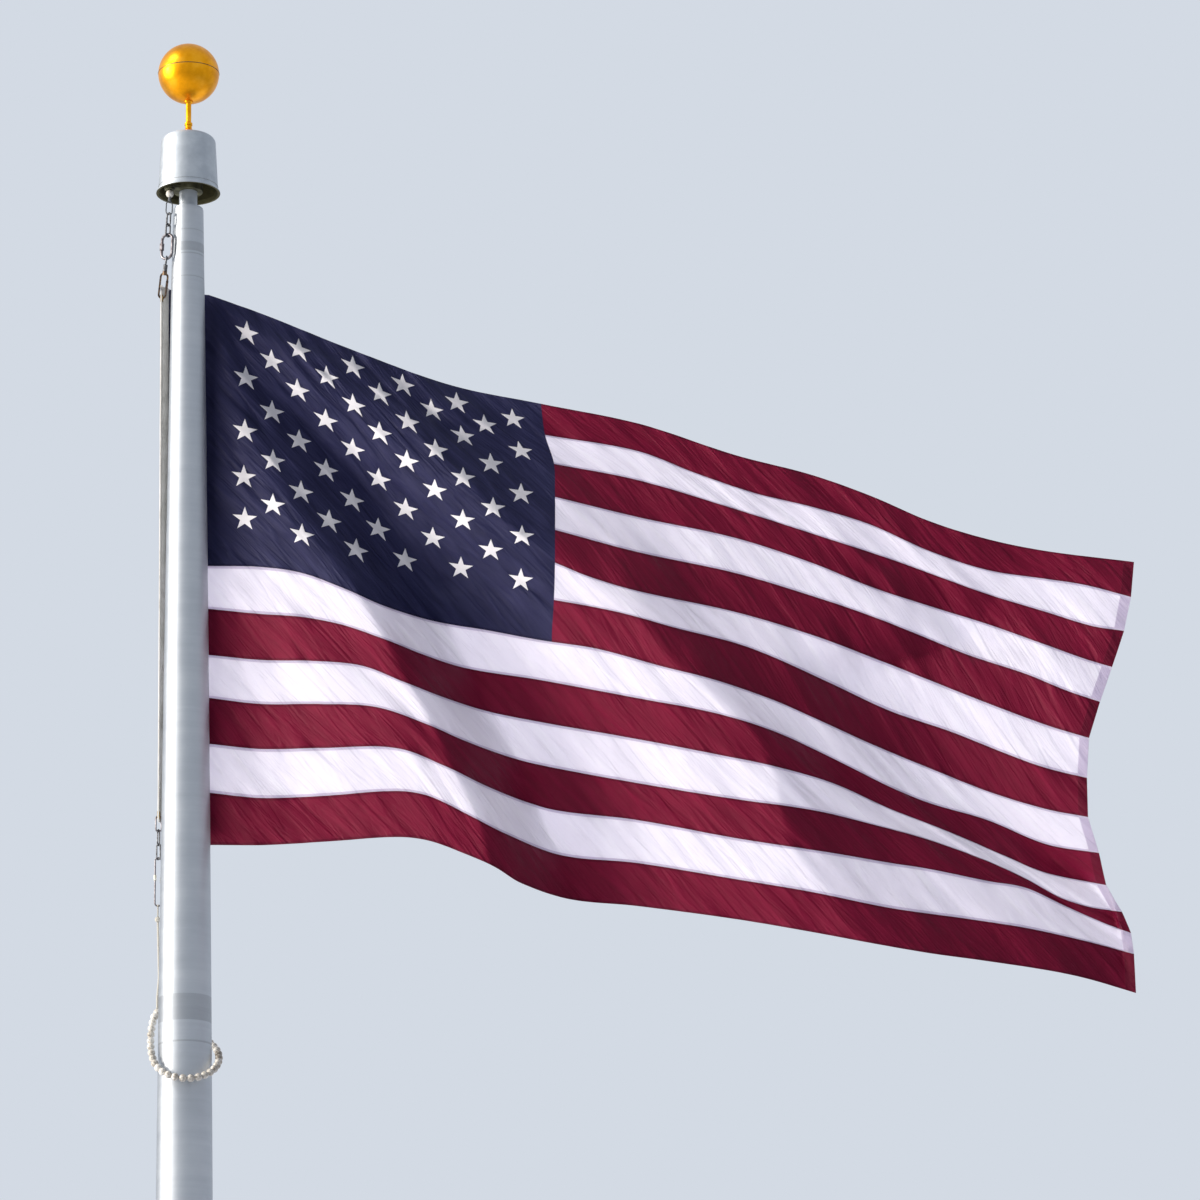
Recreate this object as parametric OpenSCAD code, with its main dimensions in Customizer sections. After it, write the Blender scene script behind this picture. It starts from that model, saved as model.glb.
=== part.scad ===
// Flagpole with an internal halyard, a revolving truck, a ball finial and a
// striped flag with a starred canton that streams from it.
// Millimetres, +Z up. The origin is the middle of the base flange's underside.

/* [Pole] */
// Height of the shaft above the ground
pole_h = 7620; // [6000:10:9200]
// Diameter of the straight lower shaft
butt_d = 177.8; // [150:0.1:184]
// Diameter at the top of the shaft
top_d = 101.6; // [96:0.1:110]
// Length of the tapered upper part
taper_l = 3350; // [3200:10:4200]
// How far the taper swells beyond a straight cone
swell = 3.4; // [0:0.1:5]
// Wall of the shaft
pole_wall = 4.8; // [3:0.1:8]

/* [Base] */
// Side of the square base flange
flange_w = 356; // [340:1:420]
// Thickness of the base flange
flange_t = 25; // [18:1:40]
// Corner radius of the base flange
flange_r = 32; // [10:1:45]
// Outer diameter of the socket at its foot
socket_foot_d = 252; // [246:1:270]
// Outer diameter of the socket at its mouth
socket_mouth_d = 206; // [200:1:225]
// Height of the socket above the ground
socket_h = 118; // [90:1:160]
// Depth of the flange below the end of the shaft
shaft_floor = 8; // [4:1:14]
// Pitch circle of the anchor bolts
anchor_pcd = 368; // [362:1:380]
// Diameter of the anchor holes
anchor_hole_d = 29; // [22:1:32]

/* [Access door] */
// Height of the door's middle above the ground
door_z = 1050; // [600:10:1500]
// Width of the door opening
door_w = 92; // [60:1:110]
// Height of the door opening
door_h = 280; // [180:1:360]
// How far the door laps over the shaft round its opening
door_lap = 7; // [4:1:10]
// Thickness of the door
door_t = 4; // [3:0.1:5]
// Width of the frame round the door
door_rim = 9; // [6:1:12]
// How far the frame stands proud of the shaft
door_proud = 6; // [5:0.5:8]
// Gap round the door
door_gap = 1.5; // [1:0.1:3]
// Diameter of the door's lock
lock_d = 22; // [16:1:30]

/* [Truck] */
// Diameter of the neck that the truck turns on
neck_d = 60; // [50:1:64]
// Bore of the neck, which the halyard runs up
neck_bore_d = 30; // [20:1:34]
// Gap between the shaft's top and the truck's lip
lip_gap = 62; // [50:1:90]
// Height of the truck's cap
cap_h = 200; // [190:1:240]
// Outer diameter of the cap at its shoulder
cap_top_d = 182; // [170:1:190]
// Outer diameter of the cap above its lip
cap_foot_d = 198; // [192:1:205]
// Outer diameter of the lip
lip_d = 212; // [206:1:225]
// Height over which the lip flares out
lip_h = 12; // [8:1:18]
// Radius of the cap's shoulder
shoulder_r = 24; // [10:1:32]
// Wall of the cap
cap_wall = 4; // [3:0.1:6]
// Outer diameter of the hub's boss
boss_d = 96; // [88:1:104]
// Gap between the neck and the hub that turns on it
turn_gap = 0.5; // [0.3:0.1:1]
// Height of the hub's foot above the lip
hub_rise = 4; // [3:1:12]
// Width of the sheave
sheave_w = 14; // [12:1:18]

/* [Finial] */
// Diameter of the ball
ball_d = 203.2; // [180:0.1:230]
// Height of the ball's middle above the shaft's top
ball_rise = 493; // [480:1:560]
// Diameter of the stem
stem_d = 18; // [14:1:24]
// Diameter of the boss that the stem screws into
stem_boss_d = 44; // [34:1:60]

/* [Halyard fittings] */
// Distance of the halyard outlet from the axis
outlet_r = 70; // [68:1:73]
// Bearing of the halyard outlet, from the flag's side
outlet_bearing = 215; // [212:1:222]
// Diameter of the halyard's wire
wire_d = 5; // [4:0.1:7]
// Diameter of the stop ball
stop_d = 26; // [22:1:30]
// Length of the wire's eye below its ferrule
eye_l = 50; // [48:1:56]
// Width of the wire's eye
eye_w = 28; // [26:1:32]
// Wire of the small links
link_wire = 6; // [5:0.1:7]
// Length of a small link
link_l = 50; // [46:1:52]
// Width of a small link
link_w = 24; // [22:1:28]
// Wire of the quick link
quick_wire = 9; // [7:0.1:10]
// Length of the quick link
quick_l = 94; // [90:1:98]
// Width of the quick link
quick_w = 48; // [40:1:52]
// Length of the lower long link
long_l = 162; // [150:1:170]
// Width of the lower long link
long_w = 25; // [22:1:28]
// Wire of the lower long link
long_wire = 5; // [4:0.1:6]

/* [Flag] */
// Height of the flag at its hoist
hoist = 1829; // [1800:1:1850]
// Length of the flag
fly = 3475; // [3300:1:3600]
// Share of the length that the canton takes
canton_share = 0.4; // [0.36:0.04:0.44]
// Thickness of the cloth as a solid
cloth_t = 5; // [3:0.5:8]
// Top of the header below the shaft's top
hoist_drop = 250; // [240:1:300]
// Width of the canvas header
header_w = 52; // [50:1:58]
// Distance of the cloth from the pole's axis behind the pole
wrap_r = 96; // [94:1:110]
// Bearing where the header ends and the cloth begins
seam_bearing = 138; // [130:1:146]
// Share of its length that the cloth reaches along the wind
reach = 0.905; // [0.85:0.005:0.93]
// Drop of the top edge at the fly
top_droop = 1010; // [900:10:1100]
// Drop of the bottom edge at the fly
bottom_droop = 620; // [500:10:700]
// Sag of the top edge between the pole and the fly
top_sag = 80; // [0:1:120]
// Extra drop of the cloth's middle rows at the fly
belly_drop = 150; // [0:1:180]
// Rise and fall of the bottom edge near the pole
foot_wave = 60; // [0:1:80]
// Swing of the two crests out of the flag's plane
crest_swing = 153; // [80:1:160]
// Drop at which the crests have their full swing
crest_full_at = 1300; // [1100:10:1500]
// Swing of the two hollows out of the flag's plane
hollow_swing = 50; // [20:1:60]
// Lean of the first crest for each unit of drop
crest_1_lean = 0.5; // [0.45:0.01:0.55]
// Lean of the first hollow at its top
hollow_1_lean = 0.75; // [0.7:0.01:0.8]
// Lean of the second crest at its top
crest_2_lean = 1.25; // [1.15:0.01:1.35]
// Distance of the second hollow's tip from the pole
tip_x = 2178; // [2000:1:2300]
// Drop of the second hollow's tip
tip_drop = 1376; // [1300:1:1450]
// How far the middle of the fly edge swings out of plane
fly_curl = 90; // [0:1:100]
// How far the middle of the fly edge is drawn in
fly_draw_in = 190; // [0:1:220]

/* [Retainer ring] */
// Radius of the ring's line in plan
ring_r = 107; // [106:1:112]
// Middle of the ring below the shaft's top
ring_drop = 2848; // [2800:1:2900]
// Half the height between its front and its back
ring_tilt = 90; // [40:1:110]
// Height of the peak where the cord holds it
ring_peak = 96; // [0:1:120]
// Diameter of the beads
bead_d = 24.1; // [20:0.1:25]
// Diameter of the cord through the beads
cord_d = 7; // [5:0.5:9]

/* [Hidden] */
$fn = 64;

lip_z = pole_h + lip_gap;
cap_top_z = lip_z + cap_h;
hub_z = lip_z + hub_rise;
neck_top_z = lip_z + 92;
deck_t = 8;
ball_z = pole_h + ball_rise;
ball_wall = 2.5;
stripe_n = 13;
canton_rows = 7;
stripe_cols = 40;
canton_cols = round(stripe_cols * canton_share);
wrap_cols = 4;
seat = 0.3;
wrap_l = wrap_r * (seam_bearing - 90) * PI / 180;
hoist_z = pole_h - hoist_drop;
fly_x = (fly - wrap_l) * reach;
first_fold_x = 60;
fold_step = 5;
foot_wave_at = 350;
foot_wave_l = 1300;
foot_wave_end = 1700;
foot_wave_fade = 400;
hollow_full_at = 400;
crest_1_start = -20;
hollow_1_start = 70;
hollow_1_bend = 0.0001;
crest_2_start = 50;
crest_2_bend = 0.00014;
lean_above_tip = 1.1;
lean_below_tip = 0.8;
fly_edge_out = 25;

// Radius of the shaft's outside at height z.
function shaft_r(z) =
    let (t = min(1, max(0, (pole_h - z) / taper_l)))
    top_d / 2 + (butt_d - top_d) / 2 * t + 4 * swell * t * (1 - t);

// A closed sheet from a grid of front points and a grid of back points.
module sheet_solid(front, back) {
    rows = len(front);
    cols = len(front[0]);
    n = rows * cols;
    points = concat([for (row = front) each row], [for (row = back) each row]);
    function at(r, c) = r * cols + c;
    faces = concat(
        [for (r = [0 : rows - 2]) for (c = [0 : cols - 2]) each
            [[at(r, c), at(r, c + 1), at(r + 1, c + 1)], [at(r, c), at(r + 1, c + 1), at(r + 1, c)]]],
        [for (r = [0 : rows - 2]) for (c = [0 : cols - 2]) each
            [[n + at(r, c), n + at(r + 1, c + 1), n + at(r, c + 1)],
             [n + at(r, c), n + at(r + 1, c), n + at(r + 1, c + 1)]]],
        [for (c = [0 : cols - 2]) each
            [[at(0, c), n + at(0, c), n + at(0, c + 1)], [at(0, c), n + at(0, c + 1), at(0, c + 1)],
             [at(rows - 1, c), at(rows - 1, c + 1), n + at(rows - 1, c + 1)],
             [at(rows - 1, c), n + at(rows - 1, c + 1), n + at(rows - 1, c)]]],
        [for (r = [0 : rows - 2]) each
            [[at(r, 0), at(r + 1, 0), n + at(r + 1, 0)], [at(r, 0), n + at(r + 1, 0), n + at(r, 0)],
             [at(r, cols - 1), n + at(r, cols - 1), n + at(r + 1, cols - 1)],
             [at(r, cols - 1), n + at(r + 1, cols - 1), at(r + 1, cols - 1)]]]);
    polyhedron(points = points, faces = faces, convexity = 6);
}

// The turn that points +Z along v.
function heading(v) = [0, acos(v[2] / norm(v)), atan2(v[1], v[0])];

// A round rod from one point to another.
module rod(from, to, d) {
    translate(from)
        rotate(heading(to - from))
            cylinder(d = d, h = norm(to - from), $fn = 24);
}

// A bent rod through a list of points.
module bent_rod(path, d) {
    for (i = [0 : len(path) - 2])
        rod(path[i], path[i + 1], d);
    for (i = [1 : len(path) - 2])
        translate(path[i])
            sphere(d = d + 1, $fn = 24);
}

// An oval link of round wire, standing in the XZ plane about its middle.
module oval_link(length, width, wire) {
    r = (width - wire) / 2;
    straight = length - wire - 2 * r;
    for (end = [-1, 1])
        translate([0, 0, end * straight / 2])
            rotate([90, end * -90 + 90, 0])
                rotate_extrude(angle = 180)
                    translate([r, 0])
                        circle(d = wire, $fn = 24);
    for (side = [-1, 1])
        translate([side * r, 0, -straight / 2])
            cylinder(d = wire, h = straight, $fn = 24);
}

module base_flange() {
    half = flange_w / 2 - flange_r;
    bore_d = butt_d + 1;
    color("#a9adb2")
        difference() {
            union() {
                linear_extrude(flange_t) {
                    square([flange_w, 2 * half], center = true);
                    square([2 * half, flange_w], center = true);
                    for (sx = [-1, 1])
                        for (sy = [-1, 1])
                            translate([sx * half, sy * half])
                                circle(flange_r);
                }
                translate([0, 0, flange_t])
                    cylinder(d1 = socket_foot_d, d2 = socket_mouth_d, h = 30);
                translate([0, 0, flange_t])
                    cylinder(d = socket_mouth_d, h = socket_h - flange_t);
            }
            translate([0, 0, shaft_floor])
                cylinder(d = bore_d, h = socket_h);
            for (k = [0 : 3])
                rotate(45 + 90 * k)
                    translate([anchor_pcd / 2, 0, -1])
                        cylinder(d = anchor_hole_d, h = flange_t + 2);
        }
}

// A slot shape standing on end about its middle.
module stadium(w, h) {
    square([w, h - w], center = true);
    for (end = [-1, 1])
        translate([0, end * (h - w) / 2])
            circle(d = w);
}

// A slot-shaped prism through the front of the shaft at the door.
module door_prism(grow) {
    translate([0, 0, door_z])
        rotate([90, 0, 0])
            linear_extrude(butt_d)
                stadium(door_w + 2 * grow, door_h + 2 * grow);
}

module shaft_shell(out, inn) {
    steps = 12;
    profile = concat(
        [[shaft_r(0) + out, shaft_floor]],
        [for (i = [0 : steps]) let (z = pole_h - taper_l * (1 - i / steps)) [shaft_r(z) + out, z]],
        [for (i = [steps : -1 : 0]) let (z = pole_h - taper_l * (1 - i / steps)) [shaft_r(z) - inn, z]],
        [[shaft_r(0) - inn, shaft_floor]]);
    rotate_extrude($fn = 96)
        polygon(profile);
}

module pole_shaft() {
    color("#c9ced4")
        difference() {
            shaft_shell(0, pole_wall);
            door_prism(0);
        }
}

module door_band(outer, inner) {
    difference() {
        translate([0, 0, door_z - door_h])
            cylinder(d = outer, h = 2 * door_h, $fn = 96);
        translate([0, 0, door_z - door_h - 1])
            cylinder(d = inner, h = 2 * door_h + 2, $fn = 96);
    }
}

module door_frame() {
    color("#b7bbc0")
        difference() {
            intersection() {
                door_band(butt_d + 2 * door_proud, butt_d + 2 * seat);
                door_prism(door_lap + door_gap + door_rim);
            }
            door_prism(door_lap + door_gap);
        }
}

module access_door() {
    color("#c3c8ce")
        difference() {
            intersection() {
                door_band(butt_d + 2 * (seat + door_t), butt_d + 2 * seat);
                door_prism(door_lap);
            }
            translate([0, 0, door_z + door_h / 4])
                rotate([90, 0, 0])
                    cylinder(d = lock_d + 2 * seat, h = butt_d);
        }
}

module door_lock() {
    color("#9a9ea4")
        translate([0, -butt_d / 2 + 16, door_z + door_h / 4])
            rotate([90, 0, 0])
                difference() {
                    cylinder(d = lock_d, h = 16 + door_proud + 1);
                    translate([0, 0, 16 + door_proud])
                        cube([3, lock_d / 2, 6], center = true);
                }
}

module neck_plug() {
    rim_t = 6;
    sleeve_d = top_d - 2 * pole_wall - 3;
    color("#7f8388")
        difference() {
            union() {
                translate([0, 0, pole_h - 120])
                    cylinder(d = sleeve_d, h = 120.3);
                translate([0, 0, pole_h + 0.3])
                    cylinder(d = top_d - 4, h = rim_t);
                translate([0, 0, pole_h + rim_t])
                    cylinder(d = neck_d, h = neck_top_z - pole_h - rim_t);
            }
            translate([0, 0, pole_h - 121])
                cylinder(d = neck_bore_d, h = 400);
        }
}

module thrust_ring() {
    color("#b08d57")
        translate([0, 0, neck_top_z])
            difference() {
                cylinder(d = neck_d + 8, h = 5);
                translate([0, 0, -1])
                    cylinder(d = neck_bore_d, h = 7);
            }
}

// Inner radius of the cap at height h above the lip.
function cap_inner_r(h) =
    cap_foot_d / 2 - cap_wall - (cap_foot_d - cap_top_d) / 2 * (h - lip_h) / (cap_h - shoulder_r - lip_h);

module truck_cap() {
    outer_r = cap_foot_d / 2;
    top_r = cap_top_d / 2;
    ring_r_in = shoulder_r - cap_wall;
    color("#cfd3d8")
        translate([0, 0, lip_z])
            difference() {
                rotate_extrude($fn = 96)
                    difference() {
                        union() {
                            polygon([[0, 0], [lip_d / 2, 0], [lip_d / 2, 3], [outer_r, lip_h],
                                [top_r, cap_h - shoulder_r], [0, cap_h - shoulder_r]]);
                            square([top_r - shoulder_r, cap_h]);
                            translate([top_r - shoulder_r, cap_h - shoulder_r])
                                intersection() {
                                    circle(shoulder_r);
                                    square(shoulder_r + 1);
                                }
                        }
                        polygon([[0, -1], [outer_r, -1], [outer_r - cap_wall, lip_h],
                            [top_r - cap_wall, cap_h - shoulder_r],
                            [top_r - cap_wall - seat, cap_h - shoulder_r + seat],
                            [0, cap_h - shoulder_r + seat]]);
                        square([top_r - shoulder_r, cap_h - cap_wall]);
                        translate([top_r - shoulder_r, cap_h - shoulder_r])
                            intersection() {
                                circle(ring_r_in);
                                square(shoulder_r);
                            }
                    }
                translate([0, 0, cap_h - 20])
                    cylinder(d = stem_d - 4, h = 40);
            }
}

deck_z = neck_top_z + 5 + seat;
sheave_z = deck_z + deck_t + outlet_r / 2 + 5;
cheek_t = 5;

// Turns a piece to the halyard outlet's bearing.
module to_outlet() {
    rotate(outlet_bearing)
        children();
}

module truck_hub() {
    deck_r = cap_inner_r(deck_z + deck_t - lip_z) - seat;
    arm_t = 10;
    cheek_l = 44;
    cheek_h = sheave_z - deck_z + 10;
    color("#5c5f55")
        difference() {
            union() {
                translate([0, 0, hub_z])
                    cylinder(d = boss_d, h = deck_z - hub_z);
                translate([0, 0, deck_z])
                    cylinder(r = deck_r, h = deck_t);
                to_outlet()
                    translate([0, -22, hub_z])
                        cube([outlet_r, 44, arm_t]);
                to_outlet()
                    translate([outlet_r, 0, hub_z])
                        cylinder(r = 19, h = arm_t);
                for (side = [-1, 1])
                    to_outlet()
                        translate([outlet_r / 2, side * (sheave_w + cheek_t) / 2, deck_z + cheek_h / 2])
                            cube([cheek_l, cheek_t, cheek_h], center = true);
            }
            translate([0, 0, hub_z - 1])
                cylinder(d = neck_d + 2 * turn_gap, h = neck_top_z - hub_z + 1);
            translate([0, 0, neck_top_z - seat])
                cylinder(d = neck_d + 10, h = deck_z - neck_top_z + seat);
            translate([0, 0, deck_z - 1])
                cylinder(d = 16, h = deck_t + 2);
            to_outlet()
                translate([outlet_r, 0, hub_z - 1]) {
                    cylinder(d = bushing_d + 2 * seat, h = arm_t + 2);
                    cylinder(d = 16, h = deck_z + deck_t - hub_z + 2);
                }
            to_outlet()
                translate([outlet_r / 2, 0, sheave_z])
                    rotate([90, 0, 0])
                        cylinder(d = pin_d + 2 * seat, h = 60, center = true);
        }
}

bushing_d = 24;
bushing_flange_d = 34;
bushing_flange_t = 5.7;
bushing_foot_z = hub_z - seat - bushing_flange_t;
pin_d = 10;

module outlet_bushing() {
    color("#d8dadc")
        to_outlet()
            translate([outlet_r, 0, bushing_foot_z])
                difference() {
                    union() {
                        cylinder(d = bushing_flange_d, h = bushing_flange_t);
                        cylinder(d = bushing_d, h = 16);
                    }
                    translate([0, 0, -1])
                        cylinder(d = wire_d + 4, h = 20);
                }
}

module sheave() {
    groove_r = outlet_r / 2;
    w = sheave_w / 2 - 1;
    color("#8a6f3c")
        to_outlet()
            translate([groove_r, 0, sheave_z])
                rotate([90, 0, 0])
                    rotate_extrude()
                        difference() {
                            translate([pin_d / 2 + seat, -w])
                                square([groove_r + 4 - pin_d / 2 - seat, 2 * w]);
                            translate([groove_r, 0])
                                circle(d = wire_d + 2 * seat, $fn = 32);
                            translate([groove_r, -wire_d / 2 - seat])
                                square([10, wire_d + 2 * seat]);
                        }
}

module sheave_pin() {
    color("#9c9fa3")
        to_outlet()
            translate([outlet_r / 2, 0, sheave_z])
                rotate([90, 0, 0])
                    cylinder(d = pin_d, h = sheave_w + 2 * cheek_t + 2, center = true);
}

// The wire from inside the neck, over the sheave and down through the stop ball.
module halyard_wire() {
    r = outlet_r / 2;
    foot_z = pole_h - 110;
    color("#85878b")
        to_outlet() {
            translate([0, 0, foot_z])
                cylinder(d = wire_d, h = sheave_z - foot_z, $fn = 24);
            translate([r, 0, sheave_z])
                rotate([90, 0, 0])
                    rotate_extrude(angle = 180)
                        translate([r, 0])
                            circle(d = wire_d, $fn = 24);
            translate([outlet_r, 0, stop_foot_z])
                cylinder(d = wire_d, h = sheave_z - stop_foot_z, $fn = 24);
        }
}

module finial_stem() {
    foot_z = cap_top_z;
    seat_z = ball_z - ball_d / 2;
    color("#e8b21c")
        rotate_extrude()
            difference() {
                polygon([[0, foot_z - cap_wall - 8], [stem_d / 2 - 2.3, foot_z - cap_wall - 8],
                    [stem_d / 2 - 2.3, foot_z + 0.1], [stem_boss_d / 2, foot_z + 0.1],
                    [stem_boss_d / 2, foot_z + 12], [stem_d / 2 + 2, foot_z + 34],
                    [stem_d / 2 + 2, foot_z + 42], [stem_d / 2 + 4, foot_z + 44],
                    [stem_d / 2 + 4, foot_z + 52], [stem_d / 2, foot_z + 56],
                    [stem_d / 2, seat_z - 8], [stem_d / 2 + 6, seat_z - 3],
                    [stem_d / 2 + 6, seat_z + 1], [0, seat_z + 1]]);
                translate([0, ball_z])
                    circle(ball_d / 2 + 0.3);
            }
}

module ball_half(top) {
    seam = 0.3;
    color("#f0b010")
        translate([0, 0, ball_z])
            rotate_extrude($fn = 96)
                difference() {
                    intersection() {
                        circle(ball_d / 2);
                        translate([0, top ? seam : -ball_d])
                            square([ball_d, ball_d]);
                    }
                    circle(ball_d / 2 - ball_wall);
                }
}

module ball_lower_half() {
    ball_half(false);
}

module ball_upper_half() {
    ball_half(true);
}

stop_xy = outlet_r * [cos(outlet_bearing), sin(outlet_bearing)];
stop_z = bushing_foot_z - seat - stop_d / 2;
stop_foot_z = stop_z - stop_d / 2;
ferrule_l = 15;
eye_wire = 4;

module stop_ball() {
    color("#e4e4e0")
        translate([stop_xy[0], stop_xy[1], stop_z])
            difference() {
                sphere(d = stop_d);
                cylinder(d = wire_d + 2 * seat, h = stop_d + 2, center = true);
            }
}

// The upper fittings hang on one line that leans out from the stop ball, measured down from its foot.
upper_lean = [2.8, 3, 0];
upper_start = [stop_xy[0], stop_xy[1], stop_foot_z - seat];

module on_upper_line(down, turn) {
    translate(down_line(upper_start, upper_lean, down))
        rotate(upper_lean)
            rotate([0, 0, turn])
                children();
}

// Where each fitting starts and ends on the line: every bar rests in the one above it.
eye_top = ferrule_l - 3;
link_1_top = eye_top + eye_l - eye_wire - link_wire - seat;
link_2_top = link_1_top + link_l - 2 * link_wire - seat;
quick_top = link_2_top + link_l - link_wire - quick_wire - seat;

// The wire's end, turned back into an eye and pressed in its ferrule.
module wire_loop() {
    color("#6a6c70") {
        on_upper_line(ferrule_l, 0)
            cylinder(d = wire_d + 4, h = ferrule_l);
        on_upper_line(eye_top + eye_l / 2, 40)
            oval_link(eye_l, eye_w, eye_wire);
    }
}

module upper_link() {
    color("#55575c")
        on_upper_line(link_1_top + link_l / 2, -45)
            oval_link(link_l, link_w, link_wire);
}

module lower_link() {
    color("#55575c")
        on_upper_line(link_2_top + link_l / 2, 50)
            oval_link(link_l, link_w, link_wire);
}

quick_turn = -24;

module quick_link() {
    color("#606268")
        on_upper_line(quick_top + quick_l / 2, quick_turn)
            oval_link(quick_l, quick_w, quick_wire);
}

module quick_link_nut() {
    nut_h = 22;
    color("#9b9da2")
        on_upper_line(quick_top + quick_l / 2 + nut_h / 2, quick_turn)
            translate([-(quick_w - quick_wire) / 2, 0, 0])
                difference() {
                    cylinder(d = quick_wire + 8, h = nut_h, $fn = 6);
                    translate([0, 0, -1])
                        cylinder(d = quick_wire + 2 * seat, h = nut_h + 2);
                }
}

// The point that lies a given way down a line with the given lean.
function down_line(start, lean, down) =
    start + down * [-cos(lean[0]) * sin(lean[1]), sin(lean[0]), -cos(lean[0]) * cos(lean[1])];

// The header is a strip beside the pole: flat at its free edge, folded back to the cloth's seam.
header_seam = wrap_r * [cos(seam_bearing), sin(seam_bearing)];
header_back = 24;
fold_turn = 40;
fold_dir = [sin(fold_turn), cos(fold_turn)];
fold_out = [-cos(fold_turn), sin(fold_turn)];
header_fold = header_seam - header_back * fold_dir;
header_edge = header_fold - [0, header_w - header_back];
grommet_hole = 14;
grommet_barrel = 18;
grommet_flange = 26;
grommet_in = 14;
grommet_xy = header_edge + [-cloth_t / 2, grommet_in];
upper_grommet_drop = 45;
lower_grommet_drop = 22;
upper_grommet_z = hoist_z - upper_grommet_drop;
lower_grommet_z = hoist_z - hoist + lower_grommet_drop;

// Sets a piece in the header's hole at height z, with its axis through the strip.
module in_header(z) {
    translate([grommet_xy[0], grommet_xy[1], z])
        rotate([0, 90, 0])
            children();
}

module header_strip() {
    end = header_seam - seat * fold_dir;
    corner = header_fold + cloth_t * [-1, tan(fold_turn / 2)];
    color("#e9e7e1")
        difference() {
            translate([0, 0, hoist_z - hoist])
                linear_extrude(hoist)
                    polygon([header_edge, header_fold, end, end + cloth_t * fold_out, corner,
                        header_edge - [cloth_t, 0]]);
            for (z = [upper_grommet_z, lower_grommet_z])
                in_header(z)
                    cylinder(d = grommet_barrel + 2 * seat, h = 4 * cloth_t, center = true);
        }
}

// The snap reaches from the quick link back to the upper grommet, on a line of its own.
snap_from = down_line(upper_start, upper_lean, quick_top + quick_l - quick_wire / 2);
snap_to = [grommet_xy[0], grommet_xy[1], upper_grommet_z];
snap_l = norm(snap_to - snap_from);
swivel_wire = 5;
barrel_top = 20;
barrel_l = 20;
hook_wire = 6;
hook_arm = 11.5;

module on_snap_line(down) {
    turn = heading(snap_from - snap_to);
    roll = atan2(-sin(turn[2]), cos(turn[1]) * cos(turn[2]));
    translate(snap_from)
        rotate(turn)
            rotate([0, 0, roll])
                translate([0, 0, -down])
                    children();
}

module snap_swivel() {
    ring_l = barrel_top + 2 + quick_wire / 2 + swivel_wire + 4 * seat;
    color("#4c4a4a")
        on_snap_line(barrel_top + 2 - ring_l / 2)
            rotate([0, 0, 90])
                oval_link(ring_l, 25, swivel_wire);
    color("#4c4a4a")
        on_snap_line(barrel_top + barrel_l)
            cylinder(d = 14, h = barrel_l);
}

// The snap: a block under the swivel, a flat loop through the grommet and the sleeve of its gate.
module snap_hook() {
    block_h = 14;
    block_top = barrel_top + barrel_l + seat;
    loop_top = block_top + block_h - hook_wire - 2;
    bar_down = snap_l - (grommet_hole - hook_wire) / 2 + 3;
    loop_l = bar_down + hook_wire / 2 - loop_top;
    loop_w = 2 * hook_arm + hook_wire;
    color("#8d7452") {
        on_snap_line(block_top + block_h)
            cylinder(d = 15, h = block_h);
        on_snap_line(loop_top + loop_l / 2)
            rotate([90, 0, 0])
                linear_extrude(hook_wire, center = true)
                    difference() {
                        stadium(loop_w, loop_l);
                        stadium(loop_w - 2 * hook_wire, loop_l - 2 * hook_wire);
                    }
        on_snap_line(loop_top + loop_l * 0.45)
            translate([hook_arm, 0, 0])
                cube([hook_wire + 2, hook_wire + 3, loop_l * 0.3], center = true);
    }
}

// Where the cloth hangs: s is the distance from the header along the fly, v the share down the hoist.
function plan(s) = s < wrap_l
    ? let (b = seam_bearing - s / wrap_r * 180 / PI) [wrap_r * cos(b), wrap_r * sin(b)]
    : [(s - wrap_l) * reach, wrap_r];
function hump(v) = 4 * v * (1 - v);
function cloth_x(x, v) =
    let (t = max(0, x) / fly_x)
    x - fly_draw_in * hump(v) * t * t;
function cloth_z(x, v) =
    let (t = max(0, x) / fly_x)
    let (fade = min(1, max(0, (foot_wave_end - x) / foot_wave_fade)) * min(1, max(0, x) / first_fold_x))
    let (wave = sin(360 * (x - foot_wave_at) / foot_wave_l) * fade)
    hoist_z - v * hoist - t * (top_droop * (1 - v) + bottom_droop * v)
        - top_sag * hump(t) * (1 - v) - belly_drop * hump(v) * t * t + foot_wave * wave * v * v;

// The folds across the cloth at a drop below its top corner: each has a distance from the pole and a depth.
function folds(drop, v) =
    let (crest = wrap_r - crest_swing * min(1, drop / crest_full_at))
    let (hollow = wrap_r + hollow_swing * min(1, drop / hollow_full_at))
    let (crest_1 = max(first_fold_x + fold_step, crest_1_start + crest_1_lean * drop))
    let (hollow_1_line = hollow_1_start + hollow_1_lean * drop - hollow_1_bend * drop * drop)
    let (hollow_1 = max(crest_1 + fold_step, hollow_1_line))
    let (crest_2_line = crest_2_start + crest_2_lean * drop - crest_2_bend * drop * drop)
    let (crest_2 = max(hollow_1 + fold_step, crest_2_line))
    let (below_tip = drop - tip_drop)
    let (hollow_2 = tip_x + max(-lean_above_tip * below_tip, lean_below_tip * below_tip))
    [[first_fold_x, wrap_r], [crest_1, crest], [hollow_1, hollow], [crest_2, crest],
     [min(fly_x - fold_step, hollow_2), wrap_r + hollow_swing],
     [fly_x, wrap_r + fly_edge_out - fly_curl * hump(v)]];
function cloth_depth(x, drop, v) =
    let (lines = folds(drop, v))
    let (i = max([for (k = [0 : len(lines) - 2]) if (k == 0 || lines[k][0] <= x) k]))
    let (t = min(1, max(0, (x - lines[i][0]) / (lines[i + 1][0] - lines[i][0]))))
    lines[i][1] + (lines[i + 1][1] - lines[i][1]) * (0.5 * t + 0.25 * (1 - cos(180 * t)));
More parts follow.
